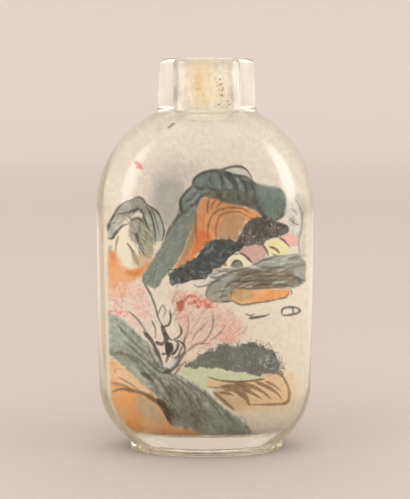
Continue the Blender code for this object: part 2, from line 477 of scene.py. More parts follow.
def curve(points, closed=False, steps=6):
    # Catmull-Rom: 0.5 (2b + (c - a) t + (2a - 5b + 4c - d) t^2 + (3b - a - 3c + d) t^3)
    p = np.array(points, float)
    if closed:
        ring = np.concatenate([p[-1:], p, p[:2]])
    else:
        ring = np.concatenate([2 * p[:1] - p[1:2], p, 2 * p[-1:] - p[-2:-1]])
    a, b, c, d = ring[:-3, None], ring[1:-2, None], ring[2:-1, None], ring[3:, None]
    t = (np.arange(steps) / steps)[None, :, None]
    square, cube = 2 * a - 5 * b + 4 * c - d, 3 * b - a - 3 * c + d
    line = 0.5 * (2 * b + (c - a) * t + square * t ** 2 + cube * t ** 3)
    line = line.reshape(-1, 2)
    return line if closed else np.concatenate([line, p[-1:]])


def near(sheet, line, margin):
    # The sheet's points in the box around a line
    x, up = sheet["x"], sheet["up"]
    (x0, y0), (x1, y1) = line.min(0) - margin, line.max(0) + margin
    index = np.flatnonzero((x > x0) & (x < x1) & (up > y0) & (up < y1))
    return index, x[index], up[index]


def toLine(x, y, line):
    # Distance to the nearest of the line's pieces, which side of it, and the way along to there
    a, step = line[:-1], np.diff(line, axis=0)
    length = np.maximum(np.hypot(step[:, 0], step[:, 1]), 1e-6)
    reach = np.concatenate([[0], np.cumsum(length)])
    best, along, side = np.full(x.shape, 1e9), np.zeros(x.shape), np.zeros(x.shape)
    for i in range(len(a)):
        dx, dy = x - a[i, 0], y - a[i, 1]
        t = np.clip((dx * step[i, 0] + dy * step[i, 1]) / length[i] ** 2, 0, 1)
        away = np.hypot(dx - t * step[i, 0], dy - t * step[i, 1])
        closer = away < best
        best = np.where(closer, away, best)
        along = np.where(closer, reach[i] + t * length[i], along)
        side = np.where(closer, (step[i, 0] * dy - step[i, 1] * dx) / length[i], side)
    return best, side, along, reach[-1]


def inside(x, y, ring):
    # Odd number of the ring's edges crossed by a level line to the right
    odd = np.zeros(x.shape, bool)
    for (ax, ay), (bx, by) in zip(ring, np.roll(ring, -1, 0)):
        odd ^= ((ay > y) != (by > y)) & (x < ax + (y - ay) * (bx - ax) / (by - ay + 1e-9))
    return odd


def lay(sheet, index, amount, colour):
    # Paint over what is there: (1 - amount) old + amount new
    amount = np.clip(amount, 0, 1)[:, None]
    sheet["colour"][index] = sheet["colour"][index] * (1 - amount) + np.asarray(colour, float) * amount


def wash(sheet, area, colour, strength=1.0, soft=0.25, rough=0.3, uneven=0.25, second=None, size=1.6,
         seed=1):
    # A filled area: its edge wanders by up to rough, and its colour drifts to the second one in clouds
    ring = curve(area, True)
    index, x, y = near(sheet, ring, soft + rough)
    away, _, _, _ = toLine(x, y, np.concatenate([ring, ring[:1]]))
    depth = np.where(inside(x, y, ring), away, -away) + rough * (cloud(x, y, 0.9, seed) - 0.5) * 2
    amount = ease(depth, -soft, soft) * strength * (1 - uneven * cloud(x, y, size, seed + 7))
    tone = np.array(colour, float)
    if second is not None:
        share = ease(cloud(x, y, size * 1.7, seed + 3), 0.35, 0.65)[:, None]
        tone = tone * (1 - share) + np.array(second, float) * share
    lay(sheet, index, amount, tone)


def stroke(sheet, points, width, colour, strength=0.9, start=0.15, end=0.35, dry=0.35, seed=1):
    # A brush line: thin at its ends, wavering in width, and broken into hairs where the brush runs dry
    line = curve(points)
    index, x, y = near(sheet, line, width)
    away, side, along, total = toLine(x, y, line)
    share = along / total
    taper = ease(share, 0, start + 1e-6) ** 0.6 * ease(1 - share, 0, end + 1e-6) ** 0.6
    half = width / 2 * (0.25 + 0.75 * taper) * (0.75 + 0.5 * noise(along, along * 0, 0.9, seed))
    amount = ease(half - away, -0.09, 0.09) * strength
    hairs = noise(along / 3, side * 4 + seed, 0.3, seed + 5)
    amount = amount * (1 - dry * ease(hairs, 0.35, 0.75) * (0.4 + 0.6 * share))
    lay(sheet, index, amount, colour)


def scatter(area, count, rng):
    # Random places inside an area
    ring = curve(area, True)
    low, high = ring.min(0), ring.max(0)
    places = low + (high - low) * rng.random((count * 4, 2))
    return places[inside(places[:, 0], places[:, 1], ring)][:count]


def hatch(sheet, area, count, length, angle, width, colours, strength=0.6, spread=0.25, bend=0.15, seed=1):
    # Many short strokes of one direction: each bends a little, and its angle and length vary
    rng = np.random.default_rng(seed)
    for place in scatter(area, count, rng):
        turn = math.radians(angle) + rng.normal() * spread
        half = length * rng.uniform(0.35, 0.65)
        ahead = np.array([math.cos(turn), math.sin(turn)]) * half
        aside = np.array([-ahead[1], ahead[0]]) * rng.normal() * bend
        stroke(sheet, [place - ahead, place + aside, place + ahead], width * rng.uniform(0.6, 1.3),
               colours[rng.integers(len(colours))], strength * rng.uniform(0.6, 1.1),
               seed=int(rng.integers(99)))


def stipple(sheet, area, count, size, colours, strength=0.6, seed=1):
    # Dots of the brush's tip, round or a little drawn out
    rng = np.random.default_rng(seed)
    for place in scatter(area, count, rng):
        radius = size / 2 * rng.uniform(0.5, 1.4)
        tilt, thin = rng.uniform(0, math.pi), rng.uniform(0.5, 1)
        index, x, y = near(sheet, place[None, :], radius * 1.6)
        dx, dy = x - place[0], y - place[1]
        u, v = dx * math.cos(tilt) + dy * math.sin(tilt), (dy * math.cos(tilt) - dx * math.sin(tilt)) / thin
        lay(sheet, index, ease(radius - np.hypot(u, v), -0.08, 0.1) * strength * rng.uniform(0.5, 1.1),
            colours[rng.integers(len(colours))])


def toAlbedo(colour, up):
    # Seen colour to the wall's own. The glass's sheen v lightens what is seen, so a linear colour L answers
    # as L^2 / (L + v), and s is that over the frost's answer. Where s is under 1 it takes the power
    # 1 + contrast * lift, and lift goes from 0 low down to 1 higher up, where more sheen lies over the wall.
    # The wall is s f / (1 - t + t s): f is the bare frost there, made darker higher up as painted shade that offsets
    # the stronger light falling there, and t the share of light the glass turns back.
    def linear(c):
        c = np.asarray(c, float) / 255
        return np.where(c < 0.04045, c / 12.92, ((c + 0.055) / 1.055) ** 2.4)

    lift = ease(up, plan["veilFrom"], plan["veilTo"])[:, None]
    veil = plan["veilLow"] + (plan["veilHigh"] - plan["veilLow"]) * lift
    frost = linear((np.array(plan["frostHigh"]) + np.array(plan["frostLow"])) / 2)
    seen = linear(colour)
    share = np.clip(seen ** 2 / (seen + veil) * (frost + veil) / frost ** 2, 0.002, 1.2)
    share = np.where(share < 1, share ** (1 + plan["contrast"] * lift), share)
    trapped = plan["trapped"]
    # Painted shade: the bare frost is made darker higher up, where more light falls
    high = ease(up, plan["paintedShadeFrom"], plan["paintedShadeTo"])[:, None]
    bare = np.array(plan["albedoLow"]) * (1 - high) + np.array(plan["shadedAlbedoHigh"]) * high
    return np.clip(share * bare / (1 - trapped + trapped * share), 0.004, 0.99)


ink = {
    "dark": (62, 60, 50),
    "black": (36, 30, 26),
    "grey": (120, 118, 100),
    "teal": (122, 127, 111),
    "tealPale": (155, 160, 145),
    "tealDeep": (84, 88, 74),
    "sky": (172, 165, 150),
    "olive": (146, 142, 108),
    "orange": (226, 155, 96),
    "orangeDeep": (212, 122, 56),
    "tan": (197, 163, 124),
    "cream": (233, 213, 182),
    "brown": (128, 92, 60),
    "maroon": (112, 70, 56),
    "pink": (231, 178, 158),
    "rose": (222, 142, 118),
    "red": (196, 88, 62),
    "yellow": (250, 229, 182),
    "mauve": (210, 170, 148),
    "green": (202, 202, 158),
    "white": (232, 226, 212),
}


def paintSky(sheet):
    # A grey haze left of the main hill, a small red mark, and short plain strokes on the shoulder
    wash(sheet, [(-10.0, 43.5), (-9.6, 48.0), (-7.5, 51.3), (-4.5, 52.2), (-1.5, 51.0), (-2.0, 48.5),
                 (-3.8, 46.5), (-4.2, 43.5), (-6.0, 41.0), (-7.6, 41.0), (-9.0, 43.2)], ink["sky"], 0.42,
         2.2, 0.8, 0.2, seed=11)
    wash(sheet, [(-8.6, 43.6), (-8.4, 47.4), (-6.5, 49.2), (-3.8, 48.2), (-4.0, 44.5), (-6.0, 40.6),
                 (-7.2, 41.8)], ink["sky"], 0.75, 1.1, 0.5, 0.2, seed=12)
    wash(sheet, [(-11.6, 51.5), (-11.0, 52.0), (-10.3, 51.4), (-10.5, 50.6), (-11.2, 50.8)], ink["pink"],
         0.45, 0.5)
    stroke(sheet, [(-11.5, 51.9), (-11.0, 51.4), (-10.4, 50.7)], 0.55, (205, 96, 80), 0.95)
    stroke(sheet, [(-10.6, 51.6), (-11.0, 51.2), (-11.3, 50.7)], 0.4, (214, 120, 100), 0.9)
    stroke(sheet, [(-5.9, 57.2), (-5.4, 57.45), (-5.0, 57.6)], 0.16, (104, 96, 78), 0.85)
    stroke(sheet, [(-5.3, 57.6), (-4.9, 57.8), (-4.5, 57.85)], 0.14, (112, 104, 86), 0.85)
    stroke(sheet, [(-15.2, 38.0), (-15.3, 37.2), (-15.3, 36.3)], 0.35, ink["dark"], 0.7)


def paintLeftHill(sheet):
    # Teal outside, a pale cream face, and orange ground at its foot
    outline = [(-15.6, 40.2), (-15.2, 42.2), (-14.3, 44.3), (-13.1, 45.3), (-12.2, 45.6), (-11.2, 46.1),
               (-10.4, 45.8), (-9.8, 44.9), (-8.9, 44.3), (-8.0, 43.6), (-7.3, 42.2), (-6.9, 40.2),
               (-7.2, 38.6)]
    wash(sheet, outline + [(-8.4, 36.8), (-10.2, 33.4), (-11.6, 31.6), (-13.4, 31.8), (-15.2, 32.6)],
         ink["cream"], 0.75, 0.3, 0.2, seed=21)
    wash(sheet, outline + [(-8.6, 38.6), (-9.2, 40.6), (-10.0, 42.6), (-11.2, 43.6), (-12.6, 42.6),
                           (-13.8, 41.2), (-15.2, 39.0)], ink["tealPale"], 0.72, 0.25, 0.2,
         second=ink["grey"], seed=22)
    wash(sheet, [(-10.6, 42.6), (-9.4, 41.0), (-8.7, 38.6), (-8.8, 36.4), (-9.8, 35.6), (-10.8, 36.6),
                 (-11.4, 39.0)], ink["olive"], 0.8, 0.35, 0.3, seed=23)
    wash(sheet, [(-14.6, 42.4), (-13.2, 42.8), (-12.8, 41.6), (-13.6, 40.6), (-14.8, 40.8)], ink["cream"],
         0.6, 0.4, seed=27)
    wash(sheet, [(-12.4, 42.4), (-10.8, 42.6), (-10.9, 40.4), (-11.4, 38.2), (-12.6, 39.4)], ink["grey"],
         0.6, 0.3, seed=24)
    wash(sheet, [(-15.5, 36.4), (-14.6, 36.2), (-13.6, 34.2), (-12.0, 33.6), (-10.2, 34.6), (-8.8, 35.6),
                 (-9.6, 33.8), (-11.0, 32.0), (-12.6, 31.2), (-13.2, 29.4), (-14.8, 29.0), (-15.6, 31.4)],
         ink["orange"], 0.85, 0.5, 0.3, second=ink["orangeDeep"], seed=25)
    wash(sheet, [(-11.9, 36.2), (-9.4, 36.2), (-9.4, 34.6), (-11.6, 34.0)], ink["tan"], 0.7, 0.6, seed=26)
    stroke(sheet, outline, 0.28, ink["dark"], 0.75, 0.05, 0.1, seed=2)
    stroke(sheet, [(-15.5, 39.1), (-15.1, 39.1), (-14.6, 40.1), (-13.7, 41.2), (-12.7, 41.6)], 0.4,
           ink["dark"], 0.7, seed=3)
    stroke(sheet, [(-14.6, 43.3), (-13.3, 43.4), (-12.0, 43.8), (-11.2, 44.1), (-10.5, 43.7), (-10.2, 42.7),
                   (-9.7, 41.3), (-9.2, 40.2)], 0.38, ink["dark"], 0.75, 0.3, 0.15, seed=4)
    stroke(sheet, [(-9.9, 44.7), (-9.2, 43.4), (-8.7, 41.8), (-8.4, 40.0), (-8.4, 37.9)], 0.32, ink["dark"],
           0.75, seed=5)
    stroke(sheet, [(-9.0, 44.2), (-8.4, 42.6), (-7.9, 40.8), (-7.7, 39.4)], 0.22, ink["dark"], 0.55, seed=6)
    stroke(sheet, [(-12.4, 42.2), (-11.2, 42.5), (-10.3, 41.8)], 0.3, ink["dark"], 0.6, seed=7)
    stroke(sheet, [(-11.6, 40.2), (-11.2, 38.6), (-10.7, 37.2), (-10.1, 36.0)], 0.5, ink["dark"], 0.6,
           seed=8)
    stroke(sheet, [(-13.1, 38.3), (-12.5, 37.5), (-12.0, 36.5)], 0.35, ink["grey"], 0.8, seed=9)
    stroke(sheet, [(-14.3, 39.6), (-14.6, 38.2), (-14.7, 36.6)], 0.25, ink["brown"], 0.6, seed=10)
    stroke(sheet, [(-12.2, 37.2), (-11.8, 35.8), (-11.2, 34.4)], 0.6, (146, 132, 104), 0.7, seed=11)
    hatch(sheet, [(-12.8, 42.4), (-10.2, 43.0), (-9.2, 41.0), (-9.0, 37.6), (-10.6, 36.2), (-11.8, 38.4)],
          46, 1.3, 115, 0.16, [ink["dark"], ink["tealDeep"], ink["white"]], 0.45, seed=31)
    hatch(sheet, [(-15.4, 41.6), (-13.4, 44.6), (-10.6, 45.4), (-8.0, 42.6), (-9.4, 43.0), (-12.2, 43.0),
                  (-14.4, 40.8)], 40, 1.2, 60, 0.14, [ink["tealDeep"], ink["white"], ink["grey"]], 0.4, 0.5,
          seed=32)


def paintMainHill(sheet):
    # A teal cap and slope around an orange hollow, with dark folds over the cap
    cap = [(-4.2, 45.2), (-3.3, 46.9), (-2.2, 48.2), (-1.6, 49.4), (-0.4, 50.2), (1.5, 50.6), (3.4, 50.6),
           (6.0, 49.8), (8.2, 48.6), (10.2, 47.8), (12.4, 47.4), (13.3, 46.2), (13.4, 44.0), (12.8, 42.6),
           (11.4, 42.0), (9.6, 42.7), (8.4, 43.8), (6.6, 44.5), (4.2, 44.8), (1.8, 45.6), (0.2, 46.2),
           (-0.9, 45.8), (-2.0, 44.6), (-3.6, 43.2)]
    slope = [(-4.2, 44.4), (-2.0, 44.8), (-0.9, 45.7), (-1.4, 43.6), (-2.2, 41.2), (-3.0, 38.8),
             (-3.9, 36.4), (-5.0, 34.6), (-6.0, 33.4), (-7.0, 32.2), (-7.6, 31.1), (-8.5, 30.4),
             (-9.7, 30.8), (-10.6, 31.8), (-9.9, 33.4), (-8.8, 35.4), (-7.8, 37.2), (-6.9, 38.6),
             (-5.4, 41.4)]
    hollow = [(-0.9, 45.7), (0.8, 46.0), (3.4, 45.3), (6.4, 44.5), (8.3, 43.9), (9.3, 43.0), (8.4, 42.3),
              (7.0, 42.0), (6.2, 40.9), (5.7, 39.6), (5.2, 38.7), (3.4, 38.8), (1.5, 38.5), (0.2, 37.8),
              (-1.0, 36.5), (-2.5, 35.1), (-4.2, 34.2), (-5.3, 33.7), (-4.7, 34.8), (-3.8, 36.4),
              (-3.0, 38.6), (-2.3, 40.8), (-1.6, 43.2), (-1.1, 44.6)]
    wash(sheet, slope, ink["teal"], 0.95, 0.2, 0.25, 0.12, second=(134, 136, 122), seed=41)
    wash(sheet, cap, ink["teal"], 0.95, 0.2, 0.2, 0.1, second=ink["tealDeep"], size=1.0, seed=42)
    wash(sheet, [(8.6, 48.2), (12.2, 47.4), (13.3, 46.0), (13.3, 43.6), (12.0, 43.0), (10.0, 43.6),
                 (9.0, 45.4)], (132, 142, 130), 0.75, 0.7, 0.4, seed=43)
    wash(sheet, [(3.4, 50.7), (4.6, 51.1), (6.2, 50.9), (7.3, 50.0), (7.7, 49.2), (6.2, 49.8), (4.6, 50.2)],
         (196, 190, 174), 0.85, 0.2, 0.1, seed=44)
    wash(sheet, hollow, ink["orange"], 0.92, 0.25, 0.2, 0.1, second=(205, 142, 88), seed=45)
    wash(sheet, [(-2.0, 42.4), (-1.3, 42.0), (-1.6, 39.6), (-2.4, 37.2), (-3.8, 35.6), (-3.4, 37.6),
                 (-2.7, 40.0)], (158, 132, 90), 0.8, 0.35, 0.2, seed=46)
    wash(sheet, [(-1.4, 40.8), (-0.2, 40.4), (1.2, 39.2), (0.0, 37.8), (-1.6, 36.2), (-3.6, 34.8),
                 (-2.4, 36.4), (-1.7, 38.4)], ink["orangeDeep"], 0.85, 0.4, 0.2, seed=47)
    wash(sheet, [(2.0, 38.7), (2.1, 40.6), (2.9, 42.2), (4.2, 43.1), (5.8, 43.1), (6.6, 42.4), (6.2, 41.2),
                 (5.6, 40.0), (5.2, 38.8)], ink["tan"], 0.9, 0.25, 0.15, second=(186, 150, 112), seed=48)
    for shift, tone in ((0.0, ink["brown"]), (1.35, (158, 104, 62))):
        fold = [(0.55 + shift, 38.8), (0.5 + shift, 40.8), (1.0 + shift, 42.6),
                (2.1 + shift * 0.9, 43.8 - shift * 0.3), (4.0 + shift * 0.6, 44.3 - shift * 0.5),
                (6.2, 44.2 - shift * 0.6), (7.7, 43.3 - shift * 0.6)]
        stroke(sheet, fold, 0.34, tone, 0.75, 0.2, 0.3, seed=12 + int(shift))
    stroke(sheet, [(-1.5, 43.6), (-1.6, 41.6), (-1.5, 39.6), (-1.2, 38.4)], 0.3, ink["brown"], 0.75,
           seed=14)
    stroke(sheet, [(0.7, 45.8), (0.4, 44.6), (0.5, 43.2)], 0.35, ink["brown"], 0.8, seed=15)
    stroke(sheet, [(1.8, 45.6), (1.2, 44.8), (1.0, 43.9)], 0.3, ink["brown"], 0.7, seed=16)
    stroke(sheet, [(3.2, 45.4), (2.4, 44.9), (2.0, 44.2)], 0.3, ink["brown"], 0.7, seed=17)
    stroke(sheet, [(-0.2, 42.4), (-0.3, 40.4), (0.1, 38.8)], 0.22, (190, 112, 60), 0.7, seed=18)
    stroke(sheet, [(-2.1, 48.2), (-1.8, 49.2), (-1.0, 49.9), (0.3, 50.5), (1.6, 50.7), (3.0, 50.8),
                   (4.2, 51.2), (5.6, 51.3), (6.7, 50.9), (7.4, 50.1), (7.9, 49.2)], 0.42, ink["dark"], 0.85,
           0.05, 0.3, seed=19)
    stroke(sheet, [(-2.2, 47.9), (-3.2, 46.9), (-4.0, 45.8), (-4.2, 44.8), (-3.8, 43.4)], 0.5, ink["dark"],
           0.85, 0.2, 0.1, seed=20)
    stroke(sheet, [(-3.7, 43.5), (-4.8, 42.4), (-5.8, 40.8), (-6.9, 38.7)], 0.7, (98, 98, 84), 0.75,
           seed=21)
    stroke(sheet, [(3.3, 50.4), (5.0, 49.8), (6.6, 49.6), (8.0, 48.8), (8.7, 48.0)], 0.4, ink["dark"], 0.65,
           seed=22)
    stroke(sheet, [(8.6, 48.2), (10.4, 47.9), (12.2, 47.6), (13.1, 46.8)], 0.2, ink["grey"], 0.6, seed=23)
    stroke(sheet, [(-3.2, 45.4), (-2.4, 46.4), (-1.3, 47.2)], 0.6, ink["dark"], 0.7, seed=24)
    stroke(sheet, [(-2.9, 44.7), (-1.6, 44.9), (-0.7, 46.2), (0.9, 46.9)], 0.5, ink["dark"], 0.7, seed=25)
    stroke(sheet, [(8.7, 45.6), (8.9, 44.4), (9.7, 43.2), (11.0, 42.4)], 0.3, ink["dark"], 0.6, seed=26)
    hatch(sheet, [(-3.8, 45.6), (-1.6, 48.8), (1.0, 50.2), (4.0, 50.2), (8.0, 48.4), (8.8, 45.4),
                  (7.0, 44.8), (3.6, 45.4), (0.0, 46.6), (-2.0, 45.4)], 70, 1.2, 75, 0.26, [ink["dark"],
            ink["tealDeep"], ink["tealPale"], (132, 140, 128)], 0.4, 0.6, 0.3, seed=33)
    wash(sheet, [(-3.9, 45.2), (-3.5, 46.4), (-2.5, 47.4), (-1.7, 47.6), (-1.2, 46.8), (-1.6, 45.6),
                 (-2.6, 44.7), (-3.6, 44.0)], (146, 154, 140), 0.7, 0.2, 0.15, seed=49)
    wash(sheet, [(-1.7, 48.4), (-1.1, 49.4), (0.2, 50.1), (1.8, 50.2), (2.5, 49.2), (2.7, 47.9), (1.2, 47.5),
                 (-0.5, 47.9)], (132, 141, 128), 0.7, 0.25, 0.2, seed=50)
    wash(sheet, [(0.2, 46.9), (3.0, 47.0), (6.0, 46.7), (8.5, 45.5), (8.7, 44.4), (6.4, 44.7), (3.4, 45.4),
                 (0.6, 46.1)], (114, 104, 76), 0.75, 0.25, 0.3, seed=53)
    for points, width in (
            ([(3.1, 50.5), (4.2, 49.5), (5.0, 48.4), (5.5, 47.2)], 0.95),
            ([(2.5, 50.0), (2.9, 48.8), (2.9, 47.5)], 0.35),
            ([(0.2, 48.1), (1.4, 47.4), (3.0, 47.3), (4.6, 47.4)], 0.4),
            ([(-1.9, 48.0), (-0.8, 47.5), (0.1, 48.0)], 0.4),
            ([(6.0, 49.2), (6.8, 48.0), (7.0, 46.6)], 0.5),
            ([(1.0, 50.0), (0.8, 49.0), (1.4, 48.2)], 0.25),
            ([(-3.4, 45.2), (-2.2, 45.9), (-1.4, 46.9)], 0.35),
            ([(7.8, 48.4), (8.3, 47.0), (8.4, 45.4)], 0.35)):
        stroke(sheet, points, width, (66, 66, 56), 0.75, 0.2, 0.3, 0.4, seed=int(width * 70))
    hatch(sheet, [(0.2, 46.7), (4.0, 46.7), (8.2, 45.6), (7.6, 44.8), (4.0, 45.5), (0.6, 46.1)], 40, 0.7, 50,
          0.28, [ink["dark"], ink["black"], (150, 134, 98)], 0.5, 0.8, 0.3, seed=34)
    hatch(sheet, [(9.0, 47.4), (12.6, 46.8), (13.0, 43.8), (10.2, 43.6)], 40, 1.2, 70, 0.2,
          [ink["tealPale"], ink["grey"]], 0.35, 0.4, seed=35)
    hatch(sheet, slope, 60, 1.6, 62, 0.2, [ink["tealDeep"], ink["tealPale"], (110, 112, 96)], 0.3, 0.25,
          seed=36)


def paintGrove(sheet):
    # Dark trees up the hill's foot, and a brown mass of them beside the hollow
    grove = [(-6.0, 32.3), (-5.4, 33.6), (-3.6, 34.5), (-1.8, 35.6), (-0.5, 37.1), (0.8, 38.3), (2.5, 38.8),
             (4.8, 38.7), (6.6, 38.1), (5.9, 37.0), (4.8, 36.2), (4.1, 35.2), (3.4, 34.4), (2.0, 33.9),
             (1.1, 33.1), (0.4, 32.4), (-1.2, 32.0), (-3.5, 31.4), (-5.5, 31.0)]
    mass = [(5.3, 38.6), (6.0, 39.8), (6.5, 41.2), (7.3, 42.2), (9.0, 42.7), (10.6, 42.4), (12.0, 41.9),
            (13.3, 41.6), (14.0, 40.7), (13.3, 39.8), (11.8, 39.3), (10.2, 38.8), (9.6, 37.9), (8.2, 37.8),
            (6.4, 37.8)]
    wash(sheet, grove, (70, 82, 75), 0.97, 0.12, 0.35, 0.05, second=(54, 62, 56), size=1.2, seed=51)
    wash(sheet, mass, (98, 88, 76), 0.92, 0.2, 0.45, 0.15, second=(74, 68, 58), size=0.8, seed=52)
    hatch(sheet, grove, 130, 1.1, 24, 0.2, [ink["black"], (44, 50, 46), (150, 158, 148), (112, 124, 116)],
          0.8, 0.45, 0.25, seed=37)
    hatch(sheet, grove, 60, 1.6, -30, 0.14, [ink["black"], (52, 58, 52), (156, 162, 150)], 0.75, 0.5, 0.3,
          seed=56)
    stipple(sheet, grove, 60, 0.18, [(170, 174, 162), (140, 148, 138)], 0.7, seed=57)
    hatch(sheet, [(-6.2, 32.6), (-3.4, 33.4), (-3.0, 31.4), (-5.6, 30.9)], 26, 0.9, 80, 0.18,
          [ink["dark"], ink["tealPale"]], 0.5, 0.3, seed=38)
    stipple(sheet, mass, 200, 0.34, [ink["black"], ink["dark"], (136, 126, 110), (112, 104, 92)], 0.8,
            seed=39)
    stipple(sheet, mass, 60, 0.2, [ink["white"], ink["tealPale"]], 0.7, seed=40)
    stroke(sheet, [(4.4, 37.6), (5.6, 37.6), (6.8, 37.9)], 0.4, ink["black"], 0.7, seed=27)


def paintHouses(sheet):
    # Small roofs, mauve, yellow and pink in turn
    wash(sheet, [(5.9, 36.9), (6.8, 37.6), (8.2, 37.8), (9.8, 37.7), (10.4, 36.9), (10.1, 35.9), (8.8, 35.2),
                 (8.1, 34.7), (7.2, 35.7), (6.2, 36.3)], ink["mauve"], 0.95, 0.12, 0.1, 0.1,
         second=(206, 164, 146), seed=61)
    wash(sheet, [(2.8, 34.1), (3.5, 34.8), (4.0, 35.7), (4.9, 36.2), (5.9, 36.1), (6.9, 35.4), (8.0, 34.6),
                 (6.6, 34.1), (4.6, 33.9)], ink["yellow"], 0.97, 0.1, 0.05, 0.05, seed=62)
    wash(sheet, [(4.5, 34.1), (4.9, 34.9), (5.6, 35.0), (6.2, 34.5), (6.0, 34.0)], ink["grey"], 0.9, 0.08,
         0.05, seed=63)
    stroke(sheet, [(4.4, 34.1), (4.8, 34.9), (5.5, 35.2), (6.2, 34.7), (6.4, 34.0)], 0.34, ink["dark"], 0.85,
           seed=28)
    stroke(sheet, [(3.1, 34.2), (3.5, 34.6), (3.6, 34.1)], 0.25, ink["brown"], 0.8, seed=29)
    stroke(sheet, [(5.7, 36.6), (6.7, 36.1), (7.5, 35.3), (8.2, 34.6)], 0.32, ink["maroon"], 0.85, seed=30)
    stroke(sheet, [(4.0, 35.8), (4.7, 36.3), (5.7, 36.3)], 0.2, ink["dark"], 0.7, seed=31)
    wash(sheet, [(10.0, 37.9), (10.6, 38.6), (12.0, 38.8), (13.2, 38.1), (14.0, 37.2), (13.4, 36.3),
                 (11.8, 36.1), (10.6, 36.2), (10.3, 37.0)], ink["yellow"], 0.95, 0.12, 0.1, 0.08,
         second=(238, 212, 160), seed=64)
    wash(sheet, [(12.4, 39.2), (13.6, 39.8), (15.0, 39.7), (15.5, 38.6), (15.0, 37.7), (14.1, 37.8),
                 (13.2, 38.5)], ink["pink"], 0.9, 0.15, 0.1, 0.15, seed=65)
    stroke(sheet, [(9.5, 38.2), (10.1, 37.4), (10.5, 36.6), (10.6, 35.9)], 0.35, ink["maroon"], 0.8,
           seed=32)
    stroke(sheet, [(10.8, 37.6), (11.7, 37.3), (12.3, 36.8), (12.5, 36.4)], 0.38, ink["maroon"], 0.8,
           seed=33)
    stroke(sheet, [(12.4, 39.2), (13.2, 38.7), (13.8, 38.0), (14.2, 37.4)], 0.3, ink["maroon"], 0.75,
           seed=34)
    stroke(sheet, [(11.2, 36.4), (12.2, 36.0), (13.4, 36.1)], 0.2, ink["brown"], 0.6, seed=35)


